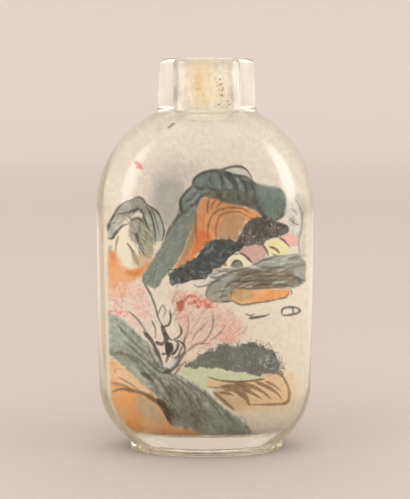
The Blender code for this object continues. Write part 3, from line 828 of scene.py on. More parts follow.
def paintFarBank(sheet):
    # A grey-green bank in layers, an orange slab under it, and faint rock at the right edge, with a painted
    # highlight down it
    bank = [(1.2, 33.2), (2.0, 33.9), (4.0, 33.9), (6.8, 34.0), (8.4, 34.8), (10.4, 35.8), (12.6, 36.0),
            (14.4, 36.4), (15.6, 36.2), (16.2, 34.5), (16.2, 32.5), (15.8, 31.2), (14.6, 30.4), (13.0, 30.5),
            (10.0, 30.2), (7.5, 29.9), (4.6, 29.6), (4.4, 28.2), (2.5, 28.0), (0.8, 28.2), (0.2, 29.2),
            (0.5, 30.6), (1.4, 31.4), (0.8, 32.3)]
    wash(sheet, bank, (152, 148, 124), 0.92, 0.15, 0.2, 0.12, second=(166, 162, 142), seed=71)
    wash(sheet, [(5.6, 33.0), (8.4, 33.6), (13.4, 34.0), (15.0, 32.6), (14.4, 31.0), (10.4, 30.8),
                 (7.0, 31.0), (5.4, 31.6)], (132, 114, 78), 0.8, 0.5, 0.4, 0.25, seed=72)
    wash(sheet, [(-2.0, 31.6), (-0.4, 32.0), (1.0, 32.1), (1.7, 31.7), (0.6, 31.1), (-1.0, 30.6),
                 (-1.8, 30.9)], (218, 204, 182), 0.9, 0.12, 0.1, seed=73)
    wash(sheet, [(1.2, 32.8), (1.6, 33.7), (2.8, 33.9), (3.6, 33.3), (2.6, 32.6), (1.6, 32.4)],
         (198, 184, 163), 0.9, 0.12, seed=74)
    slab = [(4.3, 29.6), (5.5, 30.3), (8.0, 30.0), (11.0, 30.2), (13.9, 30.1), (14.2, 29.4), (13.5, 28.9),
            (10.5, 28.3), (8.0, 27.8), (6.2, 27.5), (4.9, 28.0), (4.2, 28.8)]
    wash(sheet, slab, ink["orange"], 0.95, 0.12, 0.15, 0.1, second=(236, 178, 118), seed=75)
    wash(sheet, [(4.5, 29.4), (5.6, 30.1), (7.6, 29.8), (8.0, 28.8), (6.4, 28.0), (4.9, 28.4)],
         (188, 160, 118), 0.75, 0.4, seed=76)
    stroke(sheet, [(12.4, 28.5), (13.6, 28.9), (14.1, 29.6)], 0.5, (160, 118, 84), 0.7, seed=50)
    for lift, reach, tone in (
            (0.0, 14.0, ink["brown"]),
            (0.75, 13.6, ink["dark"]),
            (1.55, 13.8, (104, 88, 58)),
            (2.3, 14.4, ink["grey"]),
            (3.0, 15.2, (110, 104, 84))):
        layer = [(3.4 + lift * 0.5, 30.7 + lift * 0.55), (6.4, 31.0 + lift * 0.7),
                 (9.5, 31.0 + lift * 0.95), (reach, 31.0 + lift * 1.0)]
        stroke(sheet, layer, 0.42, tone, 0.62, 0.3, 0.3, seed=36 + int(lift * 4))
    stroke(sheet, [(4.4, 28.7), (4.6, 29.9), (5.8, 30.5), (8.0, 30.3), (11.0, 30.5), (14.2, 30.3)], 0.34,
           ink["brown"], 0.8, seed=41)
    stroke(sheet, [(8.0, 30.6), (10.0, 31.0), (13.0, 30.9), (15.6, 30.8)], 0.55, (92, 78, 56), 0.75,
           seed=42)
    stroke(sheet, [(4.4, 28.3), (6.2, 27.5), (8.5, 27.8), (11.5, 28.3), (13.7, 28.8)], 0.32, ink["brown"],
           0.85, seed=43)
    stroke(sheet, [(4.6, 28.1), (2.5, 28.0), (0.8, 28.3), (0.2, 29.3), (0.6, 30.6), (1.6, 31.4)], 0.28,
           ink["dark"], 0.65, seed=44)
    stroke(sheet, [(2.9, 28.8), (3.2, 30.0), (4.2, 31.2), (6.0, 31.8)], 0.3, ink["dark"], 0.5, seed=45)
    stroke(sheet, [(-1.9, 31.0), (-1.1, 30.6), (0.6, 31.0), (1.7, 31.6), (3.4, 32.4), (5.6, 32.9)], 0.28,
           (100, 90, 72), 0.75, seed=46)
    stroke(sheet, [(1.0, 32.3), (2.4, 32.3), (4.4, 33.2), (7.4, 34.0), (9.8, 35.2), (12.8, 36.2)], 0.25,
           ink["dark"], 0.55, seed=47)
    stroke(sheet, [(13.6, 33.0), (14.8, 32.4), (15.6, 31.8), (15.2, 31.0), (14.2, 31.0)], 0.5, ink["dark"],
           0.6, seed=48)
    stroke(sheet, [(14.2, 30.2), (14.5, 29.7), (14.3, 29.2)], 0.3, ink["grey"], 0.7, seed=49)
    hatch(sheet, bank, 110, 2.4, 12, 0.22, [ink["tealPale"], (84, 74, 52), (110, 96, 68), ink["white"]],
          0.45, 0.2, 0.1, seed=41)
    wash(sheet, [(14.6, 46.0), (15.6, 44.6), (16.0, 42.4), (15.9, 39.4), (15.2, 36.4), (16.2, 36.0),
                 (16.6, 41.0), (16.0, 46.0)], ink["sky"], 0.4, 0.5, 0.3, seed=77)
    # A pale patch down the right edge is a painted highlight, where the right lamp's reflection runs down the body
    wash(sheet, [(13.6, 44.6), (14.8, 45.4), (15.6, 43.4), (15.6, 40.0), (15.2, 37.4), (14.2, 39.6),
                 (13.8, 42.0)], (214, 207, 194), 0.6, 0.4, 0.3, seed=79)
    hatch(sheet, [(14.2, 45.0), (15.6, 44.0), (15.9, 40.0), (15.0, 38.4), (14.2, 41.0)], 14, 1.3, 100, 0.2,
          [ink["grey"], (150, 146, 130)], 0.4, 0.3, 0.3, seed=55)
    stroke(sheet, [(14.9, 45.8), (15.5, 44.6), (15.8, 43.0), (15.7, 40.6), (15.4, 38.4), (15.6, 36.2)], 0.25,
           ink["grey"], 0.55, seed=50)
    stroke(sheet, [(14.2, 42.6), (14.8, 41.6), (15.4, 41.4)], 0.4, ink["grey"], 0.4, seed=51)


def paintBoats(sheet):
    # Two small boats on bare water
    stroke(sheet, [(6.9, 25.9), (7.7, 25.6), (8.4, 25.9)], 0.22, ink["dark"], 0.7, seed=52)
    stroke(sheet, [(7.4, 25.1), (8.6, 25.3), (9.9, 25.5), (11.0, 25.9)], 0.36, ink["dark"], 0.85, seed=53)
    stroke(sheet, [(12.9, 25.9), (13.1, 26.8), (14.2, 27.1), (15.2, 27.0), (15.6, 26.5), (15.1, 26.0),
                   (14.0, 25.7), (12.9, 25.7)], 0.36, (98, 90, 74), 0.85, 0.05, 0.05, seed=54)
    stroke(sheet, [(14.6, 27.0), (14.7, 26.4), (14.7, 25.9)], 0.3, ink["dark"], 0.7, seed=55)
    wash(sheet, [(13.3, 26.1), (13.6, 26.7), (14.4, 26.8), (14.5, 26.2), (13.8, 26.0)], ink["white"], 0.6,
         0.1, seed=78)


def paintNearBank(sheet):
    # The long bank from the left edge down to the middle, over orange ground
    bank = [(-15.9, 25.4), (-15.1, 26.0), (-13.5, 24.6), (-11.8, 22.9), (-10.2, 21.4), (-8.6, 19.8),
            (-7.6, 18.0), (-7.0, 16.6), (-5.6, 15.5), (-4.0, 14.8), (-2.4, 14.0), (-0.6, 12.8), (1.4, 11.2),
            (3.0, 9.6), (5.0, 8.2), (6.8, 7.0), (7.8, 5.7), (6.2, 4.7), (2.6, 5.0), (0.3, 5.4), (-1.8, 5.9),
            (-4.0, 6.5), (-5.5, 6.8), (-6.4, 8.4), (-7.4, 10.2), (-8.8, 11.8), (-10.2, 13.2), (-11.9, 14.9),
            (-13.6, 16.9), (-15.2, 18.6), (-15.8, 20.8)]
    orange = [(-15.7, 18.0), (-14.2, 17.0), (-12.6, 15.4), (-11.0, 13.8), (-9.0, 11.9), (-7.4, 10.0),
              (-6.2, 8.2), (-5.2, 6.8), (-3.0, 6.2), (-0.4, 5.7), (-0.2, 4.7), (-3.6, 4.5), (-7.5, 5.0),
              (-10.5, 5.8), (-12.8, 7.2), (-14.4, 9.6), (-15.5, 12.6), (-15.8, 15.6)]
    wash(sheet, orange, (238, 150, 82), 0.92, 0.4, 0.3, 0.15, second=(242, 172, 108), seed=81)
    wash(sheet, [(-14.6, 16.6), (-12.6, 15.2), (-11.0, 13.6), (-9.4, 12.2), (-11.0, 12.2), (-13.2, 13.4),
                 (-14.8, 14.4)], (232, 200, 160), 0.8, 0.4, 0.2, seed=82)
    wash(sheet, [(-11.6, 11.8), (-9.0, 11.0), (-7.4, 9.2), (-6.4, 7.4), (-8.0, 7.0), (-10.6, 8.2),
                 (-12.0, 10.2)], (190, 168, 134), 0.8, 0.9, 0.3, seed=83)
    wash(sheet, [(-15.6, 13.4), (-13.4, 12.2), (-12.0, 10.4), (-12.2, 8.2), (-13.8, 9.4), (-15.4, 12.0)],
         (244, 166, 102), 0.8, 0.6, 0.2, seed=84)
    wash(sheet, [(-12.0, 6.9), (-8.0, 6.0), (-4.4, 6.1), (-0.4, 5.6), (-0.4, 4.8), (-5.0, 4.8), (-9.4, 5.4)],
         (232, 152, 86), 0.8, 0.35, 0.2, seed=85)
    wash(sheet, bank, (146, 146, 126), 0.93, 0.25, 0.35, 0.14, second=(164, 165, 146), size=1.2, seed=86)
    wash(sheet, [(-15.8, 25.2), (-14.9, 25.6), (-13.2, 24.0), (-11.6, 22.4), (-12.6, 20.8), (-14.8, 19.8),
                 (-15.8, 21.6)], (180, 182, 166), 0.8, 0.8, 0.4, seed=87)
    wash(sheet, [(-10.8, 22.0), (-9.2, 21.4), (-7.8, 18.8), (-8.2, 17.6), (-9.8, 19.6)], (214, 202, 178),
         0.75, 0.5, 0.3, seed=91)
    wash(sheet, [(-13.6, 17.6), (-12.0, 16.4), (-9.6, 14.6), (-8.0, 12.4), (-9.2, 12.6), (-11.6, 15.0),
                 (-13.8, 16.9)], (176, 172, 144), 0.75, 0.5, 0.3, seed=88)
    wash(sheet, [(-5.8, 13.0), (-3.0, 12.6), (-1.0, 9.6), (0.4, 6.4), (-3.4, 6.8), (-5.8, 7.6),
                 (-7.0, 10.4)], (122, 114, 88), 0.75, 0.9, 0.5, seed=89)
    wash(sheet, [(1.0, 10.6), (3.2, 8.8), (6.4, 6.8), (6.4, 5.2), (2.8, 5.6), (1.0, 7.4)], (136, 140, 116),
         0.7, 0.6, 0.3, seed=90)
    for start, bend, finish, width in (
            ((-15.4, 19.4), (-12.6, 18.4), (-9.4, 14.8), 0.55),
            ((-14.6, 24.2), (-12.4, 21.4), (-9.4, 18.4), 0.4),
            ((-13.8, 21.4), (-10.4, 18.2), (-7.4, 15.4), 0.5),
            ((-12.6, 19.0), (-9.6, 16.2), (-6.2, 12.2), 0.6),
            ((-11.6, 16.8), (-9.4, 14.6), (-7.6, 11.4), 0.7),
            ((-9.8, 20.4), (-8.2, 17.2), (-5.6, 14.8), 0.35),
            ((-6.4, 14.9), (-3.6, 12.4), (-1.6, 8.2), 0.5),
            ((-4.8, 14.6), (-1.8, 12.0), (0.6, 7.6), 0.45),
            ((-3.0, 14.0), (0.4, 11.0), (3.4, 7.4), 0.4),
            ((-1.4, 13.0), (2.0, 10.0), (5.6, 6.6), 0.35),
            ((-7.6, 13.6), (-6.0, 11.4), (-4.4, 7.6), 0.55)):
        stroke(sheet, [start, bend, finish], width, (84, 82, 64), 0.6, 0.3, 0.4, 0.5, seed=int(width * 100))
    hatch(sheet, bank, 240, 1.7, -48, 0.28,
          [(92, 90, 72), (108, 108, 90), (178, 180, 162), (120, 110, 84), (166, 168, 150)],
          0.32, 0.3, 0.2, seed=42)
    hatch(sheet, [(-9.0, 17.6), (-6.6, 16.0), (-3.0, 13.8), (0.6, 11.0), (2.0, 7.4), (-2.6, 6.8),
                  (-5.8, 8.0), (-9.2, 12.6)], 90, 2.2, -56, 0.3, [(70, 64, 48), (88, 80, 60), (104, 92, 66),
            (150, 146, 120)], 0.45, 0.35, 0.25, seed=60)
    stipple(sheet, bank, 260, 0.7, [(120, 116, 96), (176, 176, 156), (104, 102, 84)], 0.2, seed=59)
    stroke(sheet, [(-15.6, 19.4), (-14.9, 18.9), (-14.2, 19.3), (-13.4, 18.7)], 0.55, (108, 108, 92), 0.6,
           seed=56)
    stroke(sheet, [(-10.9, 15.6), (-9.9, 15.0), (-8.9, 14.2)], 0.7, (64, 60, 46), 0.7, seed=57)
    stroke(sheet, [(-15.0, 12.4), (-14.0, 12.8), (-12.4, 12.5), (-10.4, 11.9), (-8.8, 10.9), (-7.4, 9.7),
                   (-6.4, 8.2), (-5.4, 6.7)], 0.62, (104, 80, 54), 0.85, 0.2, 0.15, seed=58)
    stroke(sheet, [(-8.2, 10.9), (-7.0, 9.9), (-6.2, 8.0), (-5.9, 6.8)], 0.85, (66, 54, 40), 0.8, 0.2, 0.3,
           0.5, seed=59)
    stroke(sheet, [(-15.2, 13.9), (-13.4, 13.3), (-12.2, 12.4)], 0.4, (150, 108, 70), 0.75, seed=60)
    stroke(sheet, [(-14.6, 15.0), (-12.8, 13.8), (-11.0, 12.4)], 0.32, (160, 122, 84), 0.7, seed=61)
    stroke(sheet, [(-14.8, 15.6), (-14.7, 16.4), (-13.8, 16.2)], 0.16, (170, 136, 100), 0.7, seed=62)


def paintField(sheet):
    # A pale green field and a flat tan rock with brown folds
    wash(sheet, [(-4.6, 15.4), (-3.4, 16.5), (-1.0, 16.6), (2.0, 16.4), (5.0, 15.9), (8.5, 15.3),
                 (11.4, 15.1), (10.0, 14.5), (6.5, 14.2), (3.6, 14.2), (2.0, 13.5), (0.8, 12.7),
                 (-0.8, 12.8), (-2.6, 14.1)], ink["green"], 0.92, 0.2, 0.2, 0.1, second=(204, 204, 160),
         seed=91)
    wash(sheet, [(-3.4, 19.2), (-2.6, 18.4), (-1.2, 18.8), (-2.2, 17.4), (-3.8, 17.0)], (226, 190, 150), 0.5,
         0.5, seed=92)
    rock = [(0.6, 14.8), (2.5, 14.4), (5.5, 14.1), (9.8, 14.6), (11.6, 15.1), (12.6, 15.7), (13.2, 15.2),
            (13.7, 14.2), (14.1, 12.6), (14.2, 11.2), (13.6, 10.3), (12.0, 10.0), (9.0, 9.9), (7.6, 9.2),
            (5.4, 8.9), (4.2, 9.6), (2.8, 10.8), (1.5, 12.2), (2.4, 12.7), (0.6, 13.1)]
    wash(sheet, [(10.0, 16.0), (13.4, 16.2), (15.2, 14.6), (15.2, 11.4), (14.0, 9.4), (10.0, 8.8),
                 (6.0, 8.6), (8.0, 10.4)], (240, 190, 142), 0.6, 0.9, 0.4, seed=93)
    wash(sheet, rock, (226, 186, 140), 0.92, 0.2, 0.15, 0.1, second=(234, 192, 146), seed=94)
    wash(sheet, [(1.4, 12.6), (3.0, 13.6), (6.0, 13.4), (7.4, 12.0), (7.2, 10.0), (5.2, 9.2), (3.6, 10.2)],
         (196, 164, 124), 0.65, 0.5, 0.3, seed=95)
    for points, width in (
            ([(1.4, 12.2), (2.7, 11.0), (4.0, 9.9), (5.0, 9.1)], 0.5),
            ([(3.0, 12.9), (5.2, 12.5), (6.7, 11.5), (7.6, 9.9)], 0.75),
            ([(2.8, 13.2), (6.0, 13.1), (8.0, 12.0), (9.6, 11.0)], 0.55),
            ([(4.8, 13.8), (7.8, 13.2), (9.8, 12.2), (11.2, 11.0)], 0.45),
            ([(8.4, 14.0), (10.6, 13.1), (12.2, 12.0), (13.0, 11.0)], 0.42),
            ([(2.4, 12.0), (3.6, 12.0), (4.8, 11.5)], 0.4),
            ([(10.2, 14.1), (11.8, 13.3), (13.0, 12.2)], 0.3)):
        stroke(sheet, points, width * 1.35, (124, 90, 58), 0.76, 0.2, 0.4, seed=int(width * 90))
    stroke(sheet, [(10.1, 14.5), (8.4, 14.2), (6.4, 14.0), (3.0, 14.1), (0.5, 14.8)], 0.36, (96, 80, 54),
           0.9, 0.05, 0.4, seed=63)
    stroke(sheet, [(0.3, 13.1), (2.4, 12.9), (4.4, 13.4)], 0.25, (110, 104, 76), 0.6, seed=64)
    stroke(sheet, [(12.4, 15.5), (13.2, 14.8), (13.9, 13.4), (14.2, 12.0), (14.0, 10.8), (13.2, 10.3),
                   (11.6, 10.1), (9.0, 10.0), (7.0, 10.1)], 0.42, (128, 98, 72), 0.72, 0.05, 0.5, seed=65)
    stroke(sheet, [(12.0, 15.9), (12.8, 15.6), (13.1, 15.0)], 0.7, (112, 98, 82), 0.7, seed=66)
    stroke(sheet, [(10.4, 15.0), (11.4, 15.2), (12.2, 15.6)], 0.3, (188, 142, 122), 0.7, seed=67)


def paintBush(sheet):
    # A dark grey bush with a broken upper edge
    bush = [(-3.6, 16.7), (-2.2, 17.6), (-0.9, 18.5), (0.3, 19.3), (1.6, 19.6), (2.3, 20.6), (3.6, 20.5),
            (5.0, 20.2), (6.4, 20.6), (8.2, 20.9), (9.4, 20.4), (10.4, 19.8), (11.4, 19.5), (11.9, 18.8),
            (12.3, 17.7), (12.6, 16.7), (12.0, 15.6), (11.0, 15.2), (8.6, 15.2), (6.0, 15.7), (3.0, 16.2),
            (0.3, 16.4), (-2.0, 16.5)]
    wash(sheet, bush, (112, 112, 98), 0.95, 0.12, 0.5, 0.06, second=(100, 100, 86), size=1.4, seed=96)
    stipple(sheet, bush, 360, 0.3, [(84, 84, 72), (128, 126, 110), (98, 97, 84)], 0.5, seed=43)
    hatch(sheet, [(10.6, 20.2), (12.8, 18.8), (13.2, 16.0), (11.2, 15.2)], 34, 0.9, -30, 0.16,
          [(92, 86, 72), (70, 66, 56)], 0.6, 0.5, seed=44)
    hatch(sheet, [(-3.6, 17.0), (0.2, 19.6), (3.4, 20.8), (8.4, 21.0), (11.2, 19.8), (8.0, 20.2),
                  (2.6, 19.8)], 60, 0.5, 80, 0.2, [(92, 90, 74), (74, 72, 58)], 0.7, 0.6, seed=45)
    stipple(sheet, [(-3.4, 17.4), (0.0, 20.0), (3.4, 21.2), (8.6, 21.5), (11.6, 20.4), (12.8, 18.0),
                    (11.6, 18.4), (8.4, 20.2), (2.6, 19.8)], 90, 0.24, [(92, 90, 74), (110, 106, 90)], 0.7,
            seed=58)
    stipple(sheet, [(9.2, 18.2), (11.2, 18.4), (11.6, 16.4), (9.4, 16.4)], 26, 0.3,
            [ink["white"], (196, 190, 176)], 0.8, seed=46)
    stipple(sheet, bush, 24, 0.26, [(190, 186, 168), (170, 166, 150)], 0.7, seed=47)


def paintBlossom(sheet):
    # Two clouds of pink dots, the redder flowers in them, and then the trunk, boughs and twigs
    left = [(-15.4, 31.0), (-13.2, 31.7), (-11.2, 31.2), (-10.0, 30.0), (-9.2, 28.0), (-8.8, 26.0),
            (-9.3, 24.2), (-10.8, 23.4), (-12.4, 23.8), (-13.8, 25.4), (-15.4, 26.2)]
    right = [(-5.8, 29.8), (-3.0, 29.8), (0.0, 29.2), (2.2, 28.2), (4.2, 26.6), (6.0, 25.0), (6.8, 23.2),
             (6.3, 21.6), (4.6, 20.8), (2.3, 21.0), (0.3, 19.8), (-2.0, 19.8), (-3.8, 21.0), (-4.6, 24.0),
             (-5.6, 26.6)]
    wash(sheet, left, (234, 196, 176), 0.7, 0.9, 0.6, 0.35, second=(228, 180, 158), seed=97)
    wash(sheet, right, (226, 188, 166), 0.7, 0.9, 0.6, 0.35, second=(222, 176, 152), seed=98)
    wash(sheet, [(-11.2, 25.6), (-9.4, 23.2), (-8.0, 21.0), (-9.6, 21.4), (-11.8, 23.2)], (222, 206, 184),
         0.6, 0.4, seed=99)
    stipple(sheet, left, 300, 0.42, [(236, 176, 154), (240, 208, 190), (226, 156, 132), (238, 220, 204)],
            0.45, seed=48)
    stipple(sheet, right, 460, 0.42, [(228, 164, 142), (236, 204, 186), (214, 150, 128), (204, 172, 148)],
            0.45, seed=49)
    stipple(sheet, [(-15.2, 26.8), (-13.2, 27.2), (-12.8, 25.6), (-14.8, 25.8)], 30, 0.4,
            [ink["rose"], (236, 150, 126)], 0.6, seed=50)
    stipple(sheet, [(-4.6, 28.4), (-2.6, 29.4), (0.4, 28.6), (1.6, 27.0), (-1.0, 27.0), (-3.2, 27.8)], 90,
            0.42, [ink["red"], ink["rose"], (214, 118, 92)], 0.6, seed=51)
    stipple(sheet, [(2.6, 24.2), (4.8, 24.8), (6.0, 22.4), (4.0, 20.8), (2.4, 21.4)], 70, 0.42,
            [ink["rose"], (226, 150, 124)], 0.5, seed=52)
    wash(sheet, [(-4.9, 28.0), (-3.8, 28.1), (-3.5, 27.3), (-3.9, 26.4), (-4.6, 26.3), (-4.7, 27.2)],
         ink["red"], 0.85, 0.15, 0.2, seed=100)
    stroke(sheet, [(-4.2, 27.6), (-3.4, 28.3), (-2.6, 29.0), (-1.4, 28.7)], 0.5, (206, 104, 78), 0.7,
           seed=68)
    stroke(sheet, [(-1.9, 27.8), (-0.8, 28.2), (0.6, 27.4)], 0.4, (212, 118, 92), 0.6, seed=69)
    bark, twig = (66, 56, 46), (128, 110, 92)
    for points, width, tone in (
            ([(-10.3, 31.2), (-9.3, 29.6), (-8.7, 28.0), (-8.3, 26.8), (-7.9, 25.2), (-7.2, 23.7)],
             0.34, (112, 100, 86)),
            ([(-12.8, 26.4), (-11.2, 24.8), (-10.2, 23.2), (-9.2, 21.4)], 0.3, twig),
            ([(-10.4, 22.8), (-9.1, 21.3), (-8.2, 19.4), (-7.2, 17.0)], 0.65, bark),
            ([(-7.4, 24.2), (-6.9, 22.6), (-6.5, 20.8), (-6.2, 19.0), (-6.6, 17.4)], 0.8, bark),
            ([(-8.1, 25.6), (-7.2, 27.4), (-6.7, 26.4), (-7.1, 25.2)], 0.22, twig),
            ([(-7.2, 23.6), (-6.2, 24.0), (-5.8, 25.2), (-6.0, 26.6)], 0.34, bark),
            ([(-9.0, 24.8), (-8.4, 23.2), (-8.4, 21.6)], 0.3, twig),
            ([(-8.4, 21.0), (-7.4, 20.6), (-6.8, 21.2)], 0.55, bark),
            ([(-5.4, 21.4), (-4.3, 22.0), (-4.0, 23.0), (-4.5, 24.2)], 0.3, bark),
            ([(-4.8, 21.4), (-3.6, 20.5), (-3.5, 19.4), (-4.4, 18.5), (-5.6, 18.2)], 0.34, bark),
            ([(-5.6, 18.6), (-4.8, 19.6), (-4.6, 20.8), (-5.4, 21.4)], 0.4, bark),
            ([(-7.4, 18.8), (-6.6, 18.9), (-5.8, 18.4)], 0.45, bark),
            ([(-7.2, 15.4), (-5.8, 16.1), (-4.9, 17.0), (-4.3, 18.0), (-3.2, 19.2)], 0.75, bark),
            ([(-4.6, 18.0), (-3.0, 19.4), (-1.4, 20.6), (0.8, 20.7)], 0.34, (150, 122, 100)),
            ([(-2.3, 21.3), (-1.0, 23.0), (0.7, 24.7)], 0.26, (156, 130, 108)),
            ([(-0.6, 20.6), (0.6, 22.0), (1.4, 24.2), (1.2, 26.4)], 0.26, twig),
            ([(0.9, 21.2), (2.4, 22.4), (3.6, 24.0)], 0.2, twig),
            ([(-3.6, 20.6), (-2.9, 23.2), (-2.9, 25.8)], 0.2, twig),
            ([(-7.0, 22.8), (-6.3, 21.8), (-5.6, 21.2)], 0.5, bark),
            ([(-6.0, 18.8), (-5.2, 19.2), (-4.4, 20.2)], 0.3, bark),
            ([(-5.4, 17.6), (-4.6, 18.6), (-3.8, 20.4), (-3.4, 22.0)], 0.3, (96, 82, 68)),
            ([(-5.2, 15.2), (-4.4, 16.4), (-3.4, 17.6)], 0.5, (140, 112, 84))):
        stroke(sheet, points, width, tone, 0.82, 0.15, 0.35, 0.3, seed=int(abs(points[0][0]) * 10))
    hatch(sheet, right, 46, 2.6, 52, 0.13, [(150, 122, 102), (172, 140, 120), (128, 106, 88)], 0.5, 0.35,
          0.2, seed=53)
    hatch(sheet, left, 16, 2.2, 118, 0.12, [(160, 130, 112), (178, 150, 132)], 0.5, 0.3, 0.2, seed=54)
    wash(sheet, [(-6.7, 20.8), (-5.6, 20.8), (-5.4, 19.5), (-6.2, 19.0), (-6.7, 19.4)], ink["black"], 0.95,
         0.1, 0.08, seed=101)
    wash(sheet, [(-6.6, 16.9), (-5.6, 17.2), (-4.8, 18.0), (-5.2, 16.8), (-6.2, 16.3)], (206, 208, 194), 0.8,
         0.15, seed=102)


def fadeOut(sheet, bare):
    # The paint thins out over the cavity's floor, along a line that rises to the sides, and where the wall
    # turns back
    ragged = cloud(sheet["x"], sheet["up"], 1.2, 71) - 0.5
    across, lowest = plan["edgeAcross"], plan["edgeUp"]
    over = sheet["up"] - np.interp(np.abs(sheet["x"]), across, lowest)
    seam = ease(sheet["side"] + 0.8 * ragged, *plan["seamSoft"])
    amount = ease(over + 0.5 * ragged, *plan["edgeSoft"]) * seam
    sheet["colour"] = bare + (sheet["colour"] - bare) * amount[:, None]


def grain(sheet):
    # Dry paint on ground glass: fine grain lets some of the bare ground show through
    fine = cloud(sheet["x"] * 1.3, sheet["up"], 0.42, 61)
    streak = noise(sheet["x"] * 2.4, sheet["up"], 0.9, 62)
    amount = plan["grain"] * ease(fine + 0.25 * (streak - 0.5), 0.45, 0.85)
    bare = (np.array(plan["frostLow"]) + np.array(plan["frostHigh"])) / 2
    sheet["colour"] = sheet["colour"] + (bare - sheet["colour"]) * amount[:, None]
    sheet["colour"] = sheet["colour"] * (1 + 0.05 * (noise(sheet["x"], sheet["up"], 0.28, 63) - 0.5))[:, None]


def paintFront(sheet):
    # From far to near, as the picture overlaps
    bare = sheet["colour"].copy()
    paintSky(sheet)
    paintLeftHill(sheet)
    paintMainHill(sheet)
    paintGrove(sheet)
    paintFarBank(sheet)
    paintHouses(sheet)
    paintBoats(sheet)
    paintField(sheet)
    paintBush(sheet)
    paintNearBank(sheet)
    paintBlossom(sheet)
    fadeOut(sheet, bare)
    grain(sheet)


def addPaint(mesh, colour):
    # The colours go onto the mesh as its attribute "paint"
    values = np.ones((len(colour), 4), np.float32)
    values[:, :3] = colour
    layer = mesh.color_attributes.new("paint", "FLOAT_COLOR", "POINT")
    layer.data.foreach_set("color", values.reshape(-1))


def addCover(mesh, amount):
    # How much ground glass there is at each point, 0 to 1
    layer = mesh.attributes.new("cover", "FLOAT", "POINT")
    layer.data.foreach_set("value", amount.astype(np.float32))


def buildLining(name, startTurn, paint, columns, steps, bands):
    # Half of the cavity's wall as painted pieces, one above the other
    ovals = cavityRows(*steps)
    ovals = ovals[ovals[:, 2] > lining["lowEdge"]]
    ovals[:, :2] += lining["intoGlass"]
    turns = startTurn + math.pi * np.linspace(0, 1, columns + 1)
    points = ovalGrid(ovals, turns)
    front = bottle["faceWall"] - bottle["depth"] / 2
    sheet = newSheet(points, front if startTurn > 0 else -front)
    paint(sheet)
    colour = toAlbedo(sheet["colour"], sheet["up"]).reshape(points.shape)
    cuts = np.linspace(0, len(ovals) - 1, bands + 1).astype(int)
    for i in range(bands):
        band = slice(cuts[i], cuts[i + 1] + 1)
        mesh = gridMesh(name + str(i + 1), points[band], False)
        addPaint(mesh, colour[band].reshape(-1, 3))
        material = liningMaterial()
        if i == bands - 1:
            level = points[band][..., 2].reshape(-1)
            addCover(mesh, ease(level, lining["lowEdge"], lining["lowEdge"] + lining["lowFade"]))
            material = coveredMaterial(name)
        addPiece(name + str(i + 1), mesh, material)
    print(name, "built,", points.size // 3, "points")


def paintBack(sheet):
    # A plainer picture in the same colours: two far hills over a rock with grass and a blossoming tree. It
    # keeps to the middle because the clear rims mirror the sides of this wall.
    for area, tone, strength, seed in (
            ([(-4.4, 33.0), (-3.2, 37.5), (-2.0, 40.0), (-0.8, 37.5), (0.4, 34.5), (1.6, 33.0)],
             ink["tealPale"], 0.5, 111),
            ([(0.0, 33.0), (2.2, 36.0), (3.6, 43.0), (4.8, 44.0), (6.2, 40.0), (7.6, 34.0)], ink["teal"], 0.6, 112),
            ([(-1.0, 32.6), (1.0, 34.4), (3.5, 35.6), (5.4, 34.0), (7.0, 32.4)], ink["orange"], 0.5, 113),
            ([(-3.6, 8.0), (-3.1, 12.5), (-1.2, 15.5), (0.7, 14.5), (2.2, 11.0), (3.4, 7.5)], ink["teal"], 0.8, 114),
            ([(-2.1, 7.5), (-1.5, 10.5), (0.0, 11.5), (1.6, 9.5), (2.2, 7.2)], ink["orange"], 0.6, 115),
            ([(2.0, 7.0), (2.8, 9.0), (3.8, 9.2), (4.4, 7.4)], ink["green"], 0.7, 116)):
        wash(sheet, area, tone, strength, 0.4, 0.4, 0.2, seed=seed)
    for points, width in (
            ([(-4.5, 33.2), (-3.2, 37.7), (-2.0, 40.2), (-0.7, 37.6), (0.4, 34.6)], 0.35),
            ([(1.6, 35.2), (2.8, 39.4), (3.7, 43.2), (4.9, 44.1), (6.3, 40.0), (7.6, 34.4)], 0.4),
            ([(3.9, 42.4), (4.2, 39.0), (3.8, 36.4)], 0.3),
            ([(-2.1, 39.4), (-2.4, 37.0), (-2.3, 35.0)], 0.25),
            ([(-3.6, 8.4), (-3.1, 12.7), (-1.2, 15.7), (0.9, 14.6), (2.4, 11.0)], 0.5),
            ([(-1.4, 15.0), (-0.8, 12.4), (-1.2, 9.0)], 0.35),
            ([(0.4, 14.2), (0.6, 12.0), (1.4, 9.6)], 0.3),
            ([(0.4, 14.4), (0.8, 18.6), (1.6, 22.4), (3.0, 24.6)], 0.5),
            ([(0.9, 20.4), (0.6, 23.2), (1.0, 26.4)], 0.3),
            ([(2.2, 23.6), (3.6, 23.4), (4.6, 22.2)], 0.26),
            ([(3.0, 8.8), (3.4, 12.0), (4.4, 14.2)], 0.3),
            ([(3.0, 8.8), (2.9, 12.4), (2.3, 15.0)], 0.3),
            ([(3.2, 8.8), (4.0, 11.0), (4.8, 11.2)], 0.26)):
        stroke(sheet, points, width, ink["dark"], 0.75, 0.1, 0.4, seed=int(abs(points[0][0]) * 10) + 3)
    stipple(sheet, [(-0.8, 22.0), (0.0, 27.5), (3.2, 27.0), (4.8, 22.5), (2.2, 21.5)], 130, 0.5,
            [ink["pink"], ink["rose"], (236, 176, 154), ink["red"]], 0.5, seed=117)
    grain(sheet)


# Steps are those of the roof, side, heel and floor
halves = {
    "paintedFront": {"startTurn": math.pi, "paint": paintFront, "columns": 360, "steps": (112, 225, 80, 14)},
    "paintedBack": {"startTurn": 0.0, "paint": paintBack, "columns": 240, "steps": (60, 90, 60, 14)},
}
buildGlass()
for name, half in halves.items():
    buildLining(name, bands=lining["bands"], **half)


